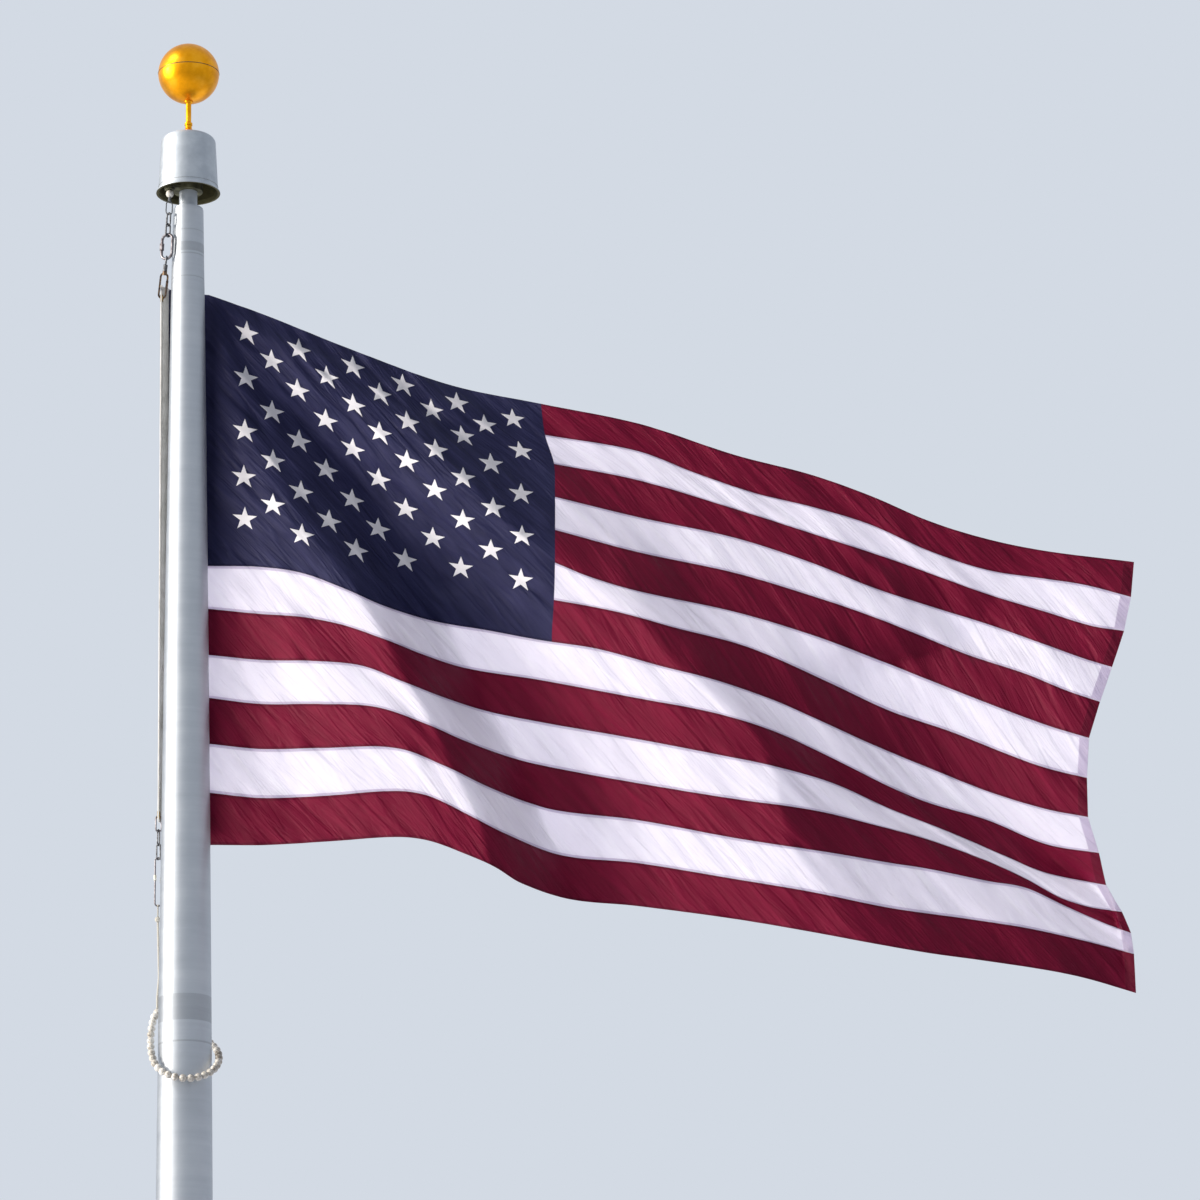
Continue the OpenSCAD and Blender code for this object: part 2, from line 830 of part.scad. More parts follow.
function cloth_at(s, v, side) =
    let (p = plan(s), x = cloth_x(p[0], v), z = cloth_z(p[0], v))
    let (depth = x > 0 ? cloth_depth(x, hoist_z - z, v) : p[1])
    let (out = [p[0] < 0 ? p[0] / wrap_r : 0, p[0] < 0 ? p[1] / wrap_r : 1])
    [x + out[0] * side * cloth_t, depth + out[1] * side * cloth_t, z];

// Stations along the fly: closer together where the cloth wraps the pole.
step = fly / stripe_cols;
stations = concat([for (i = [0 : wrap_cols - 1]) wrap_l * i / wrap_cols], [wrap_l],
    [for (i = [1 : stripe_cols]) i * step]);
canton_end = wrap_cols + canton_cols;

module cloth_piece(first, last, v0, v1, rows) {
    function grid(side) = [for (r = [0 : rows]) [for (i = [first : last])
        cloth_at(stations[i], v0 + (v1 - v0) * r / rows, side)]];
    sheet_solid(grid(0), grid(1));
}

module canton() {
    color("#23234a")
        cloth_piece(0, canton_end, 0, canton_rows / stripe_n, canton_rows);
}

module stripe(k) {
    first = k < canton_rows ? canton_end : 0;
    cloth_piece(first, len(stations) - 1, k / stripe_n, (k + 1) / stripe_n, 1);
}

module red_stripes() {
    color("#8b1a3f")
        for (k = [0 : 2 : stripe_n - 1])
            stripe(k);
}

module white_stripes() {
    color("#f2eff4")
        for (k = [1 : 2 : stripe_n - 1])
            stripe(k);
}

// A pressed brass eyelet with a flange on each face of the header.
module grommet(z) {
    lip = 1.6;
    color("#b9953e")
        in_header(z)
            difference() {
                union() {
                    cylinder(d = grommet_barrel, h = cloth_t + 1, center = true);
                    for (side = [-1, 1])
                        translate([0, 0, side * (cloth_t / 2 + 0.1 + lip / 2)])
                            cylinder(d = grommet_flange, h = lip, center = true);
                }
                cylinder(d = grommet_hole, h = 4 * cloth_t, center = true);
            }
}

module upper_grommet() {
    grommet(upper_grommet_z);
}

module lower_grommet() {
    grommet(lower_grommet_z);
}

// The lower fittings hang from the lower grommet, measured down from the middle of its hole.
lower_wire = 5;
lower_l = 56;
lower_w = 23;
lower_top = grommet_hole / 2 - lower_wire - 1.3;
pitch = lower_l - 2 * lower_wire - seat;
long_top = lower_top + 3 * pitch + lower_wire - long_wire;
long_mid_z = lower_grommet_z - long_top - long_l / 2;
long_foot_z = long_mid_z - long_l / 2;

lower_lean = [1, 0.3, 0];
lower_start = [grommet_xy[0], grommet_xy[1], lower_grommet_z];

module on_lower_line(down, turn) {
    translate(down_line(lower_start, lower_lean, down))
        rotate(lower_lean)
            rotate([0, 0, turn])
                children();
}

module lower_snap() {
    color("#c9c9c6")
        on_lower_line(lower_top + lower_l / 2, 0)
            oval_link(lower_l, lower_w, lower_wire);
}

module lower_ring() {
    color("#3e3c3e")
        on_lower_line(lower_top + pitch + lower_l / 2, 75)
            oval_link(lower_l, lower_w, lower_wire);
}

module lower_shackle() {
    color("#55524f")
        on_lower_line(lower_top + 2 * pitch + lower_l / 2, -45)
            oval_link(lower_l, lower_w, lower_wire);
}

long_turn = 15;

module long_link() {
    color("#9fa2a8")
        on_lower_line(long_top + long_l / 2, long_turn)
            oval_link(long_l, long_w, long_wire);
}

module long_link_collars() {
    color("#dddfe2")
        for (side = [-1, 1])
            on_lower_line(long_top + long_l / 2 + side * 4, long_turn)
                translate([side * (long_w - long_wire) / 2, 0, 0])
                    difference() {
                        cylinder(d = long_wire + 4, h = 18);
                        translate([0, 0, -1])
                            cylinder(d = long_wire + 2 * seat, h = 20);
                    }
}

// The ring's line at bearing b: slack on the pole and drawn up to a peak at the cord.
peak_bearing = 150;
peak_spread = 40;
function ring_at(b) =
    let (off = ((b - peak_bearing + 540) % 360 - 180) / peak_spread)
    [ring_r * cos(b), ring_r * sin(b),
     pole_h - ring_drop + ring_tilt * sin(b) - 14 * cos(b) + ring_peak * exp(-off * off)];

// The cord from the long link down to the ring, with an eye and a knot at its top.
module retainer_cord() {
    eye_h = 44;
    cord_eye_wire = 3.5;
    eye_down = long_top + long_l - long_wire - seat - cord_eye_wire;
    knot_down = eye_down + eye_h;
    peak = ring_at(peak_bearing);
    knot = down_line(lower_start, lower_lean, knot_down + 6);
    color("#dcd9d2") {
        on_lower_line(eye_down + eye_h / 2, 90)
            oval_link(eye_h, 16, cord_eye_wire);
        translate(knot)
            sphere(d = 19);
        bent_rod([knot, knot + [2, 4, -80], peak + [5, -2, 110], peak + [0, 0, 50],
            peak + [0, 0, bead_d / 2 + seat]], cord_d);
    }
}

// Beads threaded close together, evenly spaced round the ring's line from its peak.
module retainer_ring() {
    fine = [for (i = [0 : 360]) ring_at(peak_bearing + i)];
    steps = [for (i = [0 : 359]) norm(fine[i + 1] - fine[i])];
    run = [for (i = 0, sum = 0; i <= 360; sum = sum + (i < 360 ? steps[i] : 0), i = i + 1) sum];
    count = floor(run[360] / (bead_d + 2 * seat));
    function index(d) = len([for (r = run) if (r <= d) 1]) - 1;
    function spot(d) = let (i = index(d)) fine[i] + (fine[i + 1] - fine[i]) * (d - run[i]) / steps[i];
    color("#d9d6d0")
        for (k = [0 : count - 1])
            translate(spot(k * run[360] / count))
                sphere(d = bead_d);
}

base_flange();
pole_shaft();
door_frame();
access_door();
door_lock();
neck_plug();
thrust_ring();
truck_cap();
truck_hub();
outlet_bushing();
sheave();
sheave_pin();
halyard_wire();
finial_stem();
ball_lower_half();
ball_upper_half();
stop_ball();
wire_loop();
upper_link();
lower_link();
quick_link();
quick_link_nut();
snap_swivel();
snap_hook();
header_strip();
canton();
red_stripes();
white_stripes();
upper_grommet();
lower_grommet();
lower_snap();
lower_ring();
lower_shackle();
long_link();
long_link_collars();
retainer_cord();
retainer_ring();
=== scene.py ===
import math
import bmesh
import bpy
from mathutils import Matrix, Vector, noise


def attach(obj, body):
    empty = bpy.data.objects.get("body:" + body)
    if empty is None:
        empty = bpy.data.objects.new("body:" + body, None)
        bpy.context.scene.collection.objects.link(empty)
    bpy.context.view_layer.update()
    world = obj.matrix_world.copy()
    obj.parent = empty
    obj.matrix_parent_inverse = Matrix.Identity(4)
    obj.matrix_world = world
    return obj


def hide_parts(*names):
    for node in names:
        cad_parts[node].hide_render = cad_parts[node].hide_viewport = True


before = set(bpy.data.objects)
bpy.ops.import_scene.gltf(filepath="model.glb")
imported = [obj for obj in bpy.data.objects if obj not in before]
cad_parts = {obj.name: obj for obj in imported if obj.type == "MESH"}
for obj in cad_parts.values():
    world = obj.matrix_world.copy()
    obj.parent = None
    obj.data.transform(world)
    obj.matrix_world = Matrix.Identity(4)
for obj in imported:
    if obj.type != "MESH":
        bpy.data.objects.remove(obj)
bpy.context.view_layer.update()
scene = bpy.context.scene
scene.view_settings.view_transform = "Standard"

# Camera: a long lens at eye height 14 m from the pole, tipped up to its truck.
# The small roll is what leans the pole in the picture. Picture places are pixels of a 1200 px frame.
PICTURE = 1200
LENS_PX = 4600
STAND = Vector((1.336, -14.21, 1.884))
TIP_UP = math.radians(17.03)
ROLL = math.radians(-1.35)
sight = Vector((0, math.cos(TIP_UP), math.sin(TIP_UP)))
level_up = Vector((0, -math.sin(TIP_UP), math.cos(TIP_UP)))
picture_right = Vector((1, 0, 0)) * math.cos(ROLL) + level_up * math.sin(ROLL)
picture_up = level_up * math.cos(ROLL) - Vector((1, 0, 0)) * math.sin(ROLL)
camera_data = bpy.data.cameras.new("long_lens_camera")
camera_data.sensor_width = 36
camera_data.lens = 36 * LENS_PX / PICTURE
camera_data.clip_end = 200
camera = bpy.data.objects.new("long_lens_camera", camera_data)
camera.matrix_world = (Matrix.Translation(STAND)
                       @ Matrix((picture_right, picture_up, -sight)).transposed().to_4x4())
scene.collection.objects.link(camera)
scene.camera = camera


def seen_at(px, py, depth):
    """The point that the camera sees at a pixel of the picture, on the plane Y = depth."""
    ray = sight + (picture_right * (px - PICTURE / 2) + picture_up * (PICTURE / 2 - py)) / LENS_PX
    return STAND + ray * ((depth - STAND.y) / ray.y)


# Studio: a pale painted floor under a pale surround, a key lamp on the left that rakes along the
# cloth, a weaker one above it, a large weak one behind that shines through, and an even fill.
AIM = Vector((1.2, 0, 6.0))
FILL = 0.34


def linear(code):
    """An sRGB hex colour as the linear values that a shader takes."""
    parts = [int(code[i:i + 2], 16) / 255 for i in (1, 3, 5)]
    return [p / 12.92 if p <= 0.04045 else ((p + 0.055) / 1.055) ** 2.4 for p in parts] + [1.0]


def output_of(source):
    """A node's first output, or the output that is given."""
    return getattr(source, "outputs", [source])[0]


def add_node(tree, kind, settings=None, links=None):
    """Adds a shader node. Settings are its properties, socket values and ramp; links feed its sockets."""
    node = tree.nodes.new("ShaderNode" + kind)
    for name, value in (settings or {}).items():
        if name == "ramp":
            while len(node.color_ramp.elements) < len(value):
                node.color_ramp.elements.new(0.5)
            for stop, (place, colour) in zip(node.color_ramp.elements, value):
                stop.position = place
                stop.color = linear(colour)
        elif isinstance(name, int) or name in node.inputs:
            node.inputs[name].default_value = value
        else:
            setattr(node, name, value)
    for name, source in (links or {}).items():
        tree.links.new(output_of(source), node.inputs[name])
    return node


world = bpy.data.worlds.new("pale_surround")
world.use_nodes = True
sky = world.node_tree
sky.nodes.clear()
path = add_node(sky, "LightPath")
seen_or_glossy = add_node(sky, "Math", {"operation": "MAXIMUM"},
                          {0: path.outputs["Is Camera Ray"], 1: path.outputs["Is Glossy Ray"]})
shown = add_node(sky, "Math", {"operation": "MAXIMUM"},
                 {0: seen_or_glossy, 1: path.outputs["Is Transmission Ray"]})
lit_fill = add_node(sky, "Background", {"Color": linear("#dfe4ee"), "Strength": FILL})
pale_view = add_node(sky, "Background", {"Color": linear("#d3dae4"), "Strength": 1.0})
surround = add_node(sky, "MixShader", {}, {0: shown, 1: lit_fill,
                                           2: pale_view})
add_node(sky, "OutputWorld", {}, {"Surface": surround})
scene.world = world

bpy.ops.object.select_all(action="DESELECT")
bpy.ops.mesh.primitive_circle_add(vertices=96, radius=30, fill_type="NGON")
floor = bpy.context.object
floor.name = "studio_floor"
floor_paint = bpy.data.materials.new("pale_floor_paint")
floor_paint.use_nodes = True
floor_paint.node_tree.nodes["Principled BSDF"].inputs["Base Color"].default_value = linear("#cdd1d6")
floor_paint.node_tree.nodes["Principled BSDF"].inputs["Roughness"].default_value = 0.8
floor.data.materials.append(floor_paint)

for lamp_name, watts, size, away, from_way, colour in (
        ("key_lamp", 6900, 6.5, 22, Vector((-0.95, -0.24, 0.2)), "#fff6ea"),
        ("high_lamp", 1500, 4.0, 22, Vector((-0.66, -0.3, 0.69)), "#fffaf2"),
        ("back_lamp", 4500, 8.0, 16, Vector((0.35, 0.85, 0.38)), "#f6eff4")):
    lamp_data = bpy.data.lights.new(lamp_name, "AREA")
    lamp_data.energy = watts
    lamp_data.size = size
    lamp_data.color = linear(colour)[:3]
    lamp = bpy.data.objects.new(lamp_name, lamp_data)
    lamp.location = AIM + from_way.normalized() * away
    lamp.rotation_euler = (-from_way).to_track_quat("-Z", "Y").to_euler()
    lamp.visible_glossy = lamp_name != "back_lamp"
    scene.collection.objects.link(lamp)

# Base flange: a sand casting in aluminium, left as cast, that the shaft is welded into. It stands on
# its face and is held by four galvanised anchor studs, each with a flat washer and a hex nut.
STUD_SPREAD = 0.1301
FLANGE_T = 0.025


def start_material(name, colour, metallic, roughness, uv_map=None):
    """A new material with its shader's plain values: it, its node tree, its shader, and the place on
    the piece in metres, which is the object's own or that of a UV map."""
    material = bpy.data.materials.new(name)
    material.use_nodes = True
    tree = material.node_tree
    shader = tree.nodes["Principled BSDF"]
    shader.inputs["Base Color"].default_value = linear(colour)
    shader.inputs["Metallic"].default_value = metallic
    shader.inputs["Roughness"].default_value = roughness
    if uv_map:
        return material, tree, shader, add_node(tree, "UVMap", {"uv_map": uv_map}).outputs["UV"]
    return material, tree, shader, add_node(tree, "TexCoord").outputs["Object"]


def feed(tree, shader, tone, dull=None, raised=None):
    """Links a tone to the shader and, where there is one, a roughness and a bump."""
    for source, socket in ((tone, "Base Color"), (dull, "Roughness"), (raised, "Normal")):
        if source is not None:
            tree.links.new(output_of(source), shader.inputs[socket])


def dress(material, *nodes):
    """Gives CAD nodes their finish in place of the plain one."""
    for node in nodes:
        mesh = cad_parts[node].data
        mesh.materials.clear()
        mesh.materials.append(material)


def settle(piece, name, material, body):
    """Names a modelled piece, puts its place into its mesh, smooths it and hands it to a body."""
    bpy.ops.object.select_all(action="DESELECT")
    piece.select_set(True)
    bpy.context.view_layer.objects.active = piece
    bpy.ops.object.transform_apply(location=True, rotation=True, scale=True)
    bpy.ops.object.shade_smooth_by_angle(angle=math.radians(35))
    piece.name = piece.data.name = name
    piece.data.materials.clear()
    piece.data.materials.append(material)
    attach(piece, body)
    return piece


# Sand-cast aluminium: a pebbled grey skin with darker stains where water stands.
cast, tree, shader, spot = start_material("sand_cast_aluminium", "#8c9093", 0.65, 0.55)
sand = add_node(tree, "TexNoise", {"Scale": 420, "Detail": 6}, {"Vector": spot})
stain = add_node(tree, "TexNoise", {"Scale": 14, "Detail": 5, "Roughness": 0.6}, {"Vector": spot})
tone = add_node(tree, "ValToRGB", {"ramp": [(0.35, "#6b6f70"), (0.52, "#8c9093"), (0.7, "#a8acaf")]},
                {"Fac": stain})
dull = add_node(tree, "MapRange", {"To Min": 0.48, "To Max": 0.72}, {"Value": stain})
pits = add_node(tree, "Bump", {"Strength": 0.6, "Distance": 0.0005}, {"Height": sand})
feed(tree, shader, tone, dull, pits)
dress(cast, "base_flange")

# Hot-dip galvanised steel: grey spangles some millimetres across, with a few white rust bloom spots.
galvanised, tree, shader, spot = start_material("galvanised_steel", "#7d8286", 0.8, 0.45)
spangle = add_node(tree, "TexVoronoi", {"Scale": 160}, {"Vector": spot})
bloom = add_node(tree, "TexNoise", {"Scale": 45, "Detail": 4}, {"Vector": spot})
tone = add_node(tree, "ValToRGB", {"ramp": [(0.0, "#666b6f"), (1.0, "#9a9fa3")]},
                {"Fac": spangle.outputs["Color"]})
patch = add_node(tree, "MapRange", {"From Min": 0.58, "From Max": 0.72}, {"Value": bloom})
bloomed = add_node(tree, "Mix", {"data_type": "RGBA", 7: linear("#b9bcba")}, {0: patch, 6: tone})
feed(tree, shader, bloomed.outputs[2])

# One of each is modelled at the first corner and copied to the other three.
STUD_R = 0.0125
STUD_LONG = 0.068
STUD_Z = 0.035
THREAD_PITCH = 0.003
THREAD_END = 0.0665


def start_cylinder(sides, radius, depth, z, ends=(1, -1)):
    """A cylinder at the first corner, left in edit mode with only its end faces selected."""
    bpy.ops.object.select_all(action="DESELECT")
    bpy.ops.mesh.primitive_cylinder_add(vertices=sides, radius=radius, depth=depth,
                                        location=(STUD_SPREAD, STUD_SPREAD, z))
    piece = bpy.context.object
    bpy.ops.object.mode_set(mode="EDIT")
    bpy.ops.mesh.select_mode(type="FACE")
    bpy.ops.mesh.select_all(action="DESELECT")
    for face in bmesh.from_edit_mesh(piece.data).faces:
        face.select_set(round(face.normal.z) in ends)
    return piece


stud = start_cylinder(32, STUD_R, STUD_LONG, STUD_Z, ends=(1,))
bpy.ops.mesh.inset(thickness=0.002, depth=0.0015)
bpy.ops.mesh.select_all(action="SELECT")
for turn in range(12):
    bpy.ops.mesh.bisect(plane_co=(0, 0, THREAD_END - turn * THREAD_PITCH / 2), plane_no=(0, 0, 1))
    bpy.ops.mesh.select_all(action="SELECT")
shape = bmesh.from_edit_mesh(stud.data)
for vert in shape.verts:
    turn = (THREAD_END - STUD_Z - vert.co.z) / (THREAD_PITCH / 2)
    radius = math.hypot(vert.co.x, vert.co.y)
    if radius > 0.012 and abs(vert.co.z) < 0.0335 and round(turn) % 2:
        vert.co.x *= 0.9
        vert.co.y *= 0.9
bmesh.update_edit_mesh(stud.data)
bpy.ops.object.mode_set(mode="OBJECT")

washer = start_cylinder(40, 0.024, 0.004, FLANGE_T + 0.0021)
bpy.ops.mesh.select_all(action="SELECT")
bpy.ops.mesh.bevel(offset=0.0007, segments=2)
bpy.ops.object.mode_set(mode="OBJECT")

nut = start_cylinder(6, 0.0212, 0.021, FLANGE_T + 0.0148)
bpy.ops.mesh.inset(thickness=0.0028, depth=0.0016)
bpy.ops.mesh.select_all(action="SELECT")
bpy.ops.mesh.bevel(offset=0.0006, segments=2)
bpy.ops.object.mode_set(mode="OBJECT")

for part, part_name in ((stud, "anchor_stud"), (washer, "anchor_washer"), (nut, "anchor_nut")):
    settle(part, part_name + "_1", galvanised, "pole")
    for corner, (side_x, side_y) in enumerate(((-1, 1), (-1, -1), (1, -1)), 2):
        copy = part.copy()
        copy.data = part.data.copy()
        for vert in copy.data.vertices:
            vert.co.x += (side_x - 1) * STUD_SPREAD
            vert.co.y += (side_y - 1) * STUD_SPREAD
        copy.name = copy.data.name = f"{part_name}_{corner}"
        scene.collection.objects.link(copy)
        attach(copy, "pole")

# Shaft: one length of seamless aluminium tube, spun to its taper and given a satin finish with a
# belt. It is welded into the flange, and a framed door with a cam lock covers its hand hole.
# Satin aluminium: long fine die lines, faint rings left by the belt, and a few cloudy water marks.
satin, tree, shader, spot = start_material("satin_finished_aluminium", "#b9bec4", 1.0, 0.62)
lengthwise = add_node(tree, "Mapping", {"Scale": (260, 260, 1.1)}, {"Vector": spot})
die_lines = add_node(tree, "TexNoise", {"Scale": 1, "Detail": 3}, {"Vector": lengthwise})
round_it = add_node(tree, "Mapping", {"Scale": (1.5, 1.5, 34)}, {"Vector": spot})
belt_rings = add_node(tree, "TexNoise", {"Scale": 1, "Detail": 6, "Roughness": 0.7}, {"Vector": round_it})
clouds = add_node(tree, "TexNoise", {"Scale": 9, "Detail": 4}, {"Vector": spot})
both = add_node(tree, "Math", {"operation": "ADD"}, {0: belt_rings, 1: clouds})
mean = add_node(tree, "Math", {"operation": "MULTIPLY", 1: 0.5}, {0: both})
tone = add_node(tree, "ValToRGB", {"ramp": [(0.36, "#b3b8be"), (0.5, "#bbc0c6"), (0.64, "#c3c8cd")]},
                {"Fac": mean})
dull = add_node(tree, "MapRange", {"From Min": 0.35, "From Max": 0.65, "To Min": 0.58, "To Max": 0.66},
                {"Value": mean})
drawn = add_node(tree, "Bump", {"Strength": 0.3, "Distance": 0.00015}, {"Height": die_lines})
# Rub marks round the shaft, from the truck down to where the retainer swings: heights and half
# widths in metres.
height = add_node(tree, "SeparateXYZ", {}, {0: spot})
marks = None
for middle, reach in ((7.538, 0.0018), (7.478, 0.016), (7.453, 0.0022), (7.372, 0.0018),
                      (4.915, 0.042), (4.806, 0.003)):
    band = add_node(tree, "Math", {"operation": "COMPARE", 1: middle, 2: reach}, {0: height.outputs["Z"]})
    marks = add_node(tree, "Math", {"operation": "MAXIMUM"}, {0: band, 1: marks}) if marks else band
worn = add_node(tree, "Math", {"operation": "MULTIPLY"}, {0: marks, 1: belt_rings})
rubbed = add_node(tree, "Mix", {"data_type": "RGBA", 7: linear("#989ca1")}, {0: worn, 6: tone})
feed(tree, shader, rubbed.outputs[2], dull, drawn)


def brush_round(tree, shader, share):
    """Turns the metal's grain round the Z axis, so that its gleam is drawn out along the piece."""
    shader.inputs["Anisotropic"].default_value = share
    shader.inputs["Anisotropic Rotation"].default_value = 0.25
    grain = add_node(tree, "Tangent", {"direction_type": "RADIAL", "axis": "Z"})
    tree.links.new(grain.outputs[0], shader.inputs["Tangent"])


brush_round(tree, shader, 0.6)
dress(satin, "pole_shaft", "door_frame", "access_door")

# The raking key lamp would lay the shaft's shadow along the cloth, so the shaft doesn't block it.
unshadowed = bpy.data.collections.new("blocks_no_key_light")
unshadowed.objects.link(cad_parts["pole_shaft"])
bpy.data.objects["key_lamp"].light_linking.blocker_collection = unshadowed
for entry in unshadowed.collection_objects:
    entry.light_linking.link_state = "EXCLUDE"


def mottled(name, base, grain, ramp=None, rough=None, bump=None):
    """A material whose tone, roughness and relief follow one noise over the piece."""
    material, tree, shader, spot = start_material(name, *base)
    mottle = add_node(tree, "TexNoise", grain, {"Vector": spot})
    tone = dull = raised = None
    if ramp:
        tone = add_node(tree, "ValToRGB", {"ramp": ramp}, {"Fac": mottle})
    if rough:
        dull = add_node(tree, "MapRange", {"To Min": rough[0], "To Max": rough[1]}, {"Value": mottle})
    if bump:
        raised = add_node(tree, "Bump", {"Strength": bump[0], "Distance": bump[1]}, {"Height": mottle})
    feed(tree, shader, tone, dull, raised)
    return material, shader


# Chromed zinc die casting of the cam lock: a hard bright skin with fine handling marks.
chromed, shader = mottled("chromed_zinc_die_casting", ("#c3c6c9", 1.0, 0.18), {"Scale": 500, "Detail": 5},
                          rough=(0.12, 0.34))
dress(chromed, "door_lock")

# Truck: the neck is pressed into the shaft and carries a hub that turns on a nylon thrust ring, with
# a bronze sheave in its cheeks for the wire and a bushing where the wire comes out.
# Bare casting of the hub, weathered under the cap to an olive brown with oily dark patches.
hub_skin, tree, shader, spot = start_material("weathered_hub_casting", "#5a5a40", 0.35, 0.7)
sand = add_node(tree, "TexNoise", {"Scale": 350, "Detail": 6}, {"Vector": spot})
oil = add_node(tree, "TexNoise", {"Scale": 28, "Detail": 5}, {"Vector": spot})
tone = add_node(tree, "ValToRGB", {"ramp": [(0.35, "#2b2b22"), (0.5, "#55553d"), (0.68, "#77765c")]},
                {"Fac": oil})
pits = add_node(tree, "Bump", {"Strength": 0.6, "Distance": 0.0006}, {"Height": sand})
feed(tree, shader, tone, raised=pits)
dress(hub_skin, "truck_hub", "outlet_bushing")

# Bronze, turned or cast: brown where it is left alone, yellow where the wire and hands rub it.
bronze, shader = mottled("oiled_bronze", ("#86693f", 0.95, 0.4), {"Scale": 130, "Detail": 5},
                         [(0.34, "#3a2f27"), (0.5, "#5f5048"), (0.66, "#8a7355")], rough=(0.55, 0.28))
dress(bronze, "sheave", "snap_hook")

# Moulded nylon, natural white: a soft skin that has greyed and picked up dirt in its pores.
nylon_moulding, shader = mottled("moulded_white_nylon", ("#dcdad4", 0.0, 0.45),
                                 {"Scale": 70, "Detail": 6, "Roughness": 0.65},
                                 [(0.32, "#8f8a80"), (0.46, "#cfccc4"), (0.6, "#e4e2dc")],
                                 bump=(0.25, 0.0003))
shader.inputs["IOR"].default_value = 1.53
dress(nylon_moulding, "thrust_ring", "stop_ball")

# Stainless steel, drawn: grey, gone dull, with tea-coloured staining.
stainless, shader = mottled("bright_stainless_steel", ("#a9adb1", 0.95, 0.3), {"Scale": 85, "Detail": 4},
                            [(0.3, "#4e4843"), (0.45, "#6c666a"), (0.7, "#8c898c")], rough=(0.52, 0.34))
dress(stainless, "sheave_pin", "quick_link", "quick_link_nut", "long_link", "lower_snap")

# Galvanised wire rope, seven strands twisted: the strands show as slanting grooves, darkened with painted
# shade. A real strand is under a millimetre, so they are drawn two millimetres apart.
wire_rope, tree, shader, spot = start_material("galvanised_wire_rope", "#74777b", 0.85, 0.45)
lay = add_node(tree, "Mapping", {"Rotation": (0.5, 0.5, 0.0)}, {"Vector": spot})
strands = add_node(tree, "TexWave", {"Scale": 160, "Distortion": 0.3, "bands_direction": "Z"},
                   {"Vector": lay})
tone = add_node(tree, "ValToRGB", {"ramp": [(0.15, "#3e4043"), (0.6, "#85888c")]},
                {"Fac": strands.outputs["Fac"]})
grooves = add_node(tree, "Bump", {"Strength": 0.8, "Distance": 0.0006}, {"Height": strands.outputs["Fac"]})
feed(tree, shader, tone, raised=grooves)
dress(wire_rope, "halyard_wire", "wire_loop")

# Cap: spun from one sheet of aluminium over a chuck, with a rolled lip and a joint line a few
# millimetres above it. It drops over the hub and is held by the finial's stem.
CAP_FOOT_Z = 7.682
CAP_JOINT_UP = 0.021
spun, tree, shader, spot = start_material("spun_aluminium", "#b9bfc5", 1.0, 0.66)
# Spun aluminium: fine rings round the axis, with a faint cloudy oxide over them.
round_it = add_node(tree, "Mapping", {"Scale": (3, 3, 420)}, {"Vector": spot})
spin_rings = add_node(tree, "TexNoise", {"Scale": 1, "Detail": 4}, {"Vector": round_it})
oxide = add_node(tree, "TexNoise", {"Scale": 22, "Detail": 5}, {"Vector": spot})
tone = add_node(tree, "ValToRGB", {"ramp": [(0.34, "#b0b6bd"), (0.5, "#b9bfc5"), (0.66, "#c1c7cc")]},
                {"Fac": oxide})
dull = add_node(tree, "MapRange", {"To Min": 0.62, "To Max": 0.7}, {"Value": spin_rings})
rings = add_node(tree, "Bump", {"Strength": 0.2, "Distance": 0.0002}, {"Height": spin_rings})
# Painted shade: faces that look down or inwards, under the lip, are painted olive brown.
facing = add_node(tree, "NewGeometry").outputs["Normal"]
up_share = add_node(tree, "SeparateXYZ", {}, {0: facing}).outputs["Z"]
faces_down_shade_mask = add_node(tree, "MapRange", {"From Min": -0.25, "From Max": -0.75}, {"Value": up_share})
outward = add_node(tree, "VectorMath", {"operation": "MULTIPLY", 1: (1, 1, 0)}, {0: spot})
turned = add_node(tree, "VectorMath", {"operation": "DOT_PRODUCT"}, {0: facing, 1: outward})
faces_in_shade_mask = add_node(tree, "Math", {"operation": "LESS_THAN", 1: -0.01}, {0: turned.outputs["Value"]})
under = add_node(tree, "Math", {"operation": "MAXIMUM"}, {0: faces_down_shade_mask, 1: faces_in_shade_mask})
underside_painted_shade = add_node(tree, "Mix", {"data_type": "RGBA", 7: linear("#5e5b42")}, {0: under, 6: tone})
feed(tree, shader, underside_painted_shade.outputs[2], dull, rings)
brush_round(tree, shader, 0.5)
dress(spun, "truck_cap", "neck_plug")
bpy.ops.object.select_all(action="DESELECT")
bpy.ops.mesh.primitive_torus_add(major_segments=96, minor_segments=10, major_radius=0.0984,
                                 minor_radius=0.0011, location=(0, 0, CAP_FOOT_Z + CAP_JOINT_UP))
settle(bpy.context.object, "cap_joint_bead", spun, "truck")

# Finial: a stem turned from bar, and a ball of two spun halves joined in a rolled seam at its
# equator. Both are gold anodised.
BALL_Z = 8.113
BALL_R = 0.1016
gold, tree, shader, spot = start_material("gold_anodised_aluminium", "#f2aa1a", 1.0, 0.28)
# Gold anodising: a clear warm metal, browner and duller where the dye has weathered.
spin = add_node(tree, "Mapping", {"Scale": (4, 4, 160)}, {"Vector": spot})
spin_rings = add_node(tree, "TexNoise", {"Scale": 1, "Detail": 3}, {"Vector": spin})
fade = add_node(tree, "TexNoise", {"Scale": 26, "Detail": 6, "Roughness": 0.6}, {"Vector": spot})
tone = add_node(tree, "ValToRGB", {"ramp": [(0.33, "#dd9210"), (0.48, "#ec9f14"), (0.68, "#f7ae2a")]},
                {"Fac": fade})
dull = add_node(tree, "MapRange", {"To Min": 0.42, "To Max": 0.32}, {"Value": fade})
rings = add_node(tree, "Bump", {"Strength": 0.12, "Distance": 0.0002}, {"Height": spin_rings})
feed(tree, shader, tone, dull, rings)
dress(gold, "finial_stem", "ball_lower_half", "ball_upper_half")
bpy.ops.object.select_all(action="DESELECT")
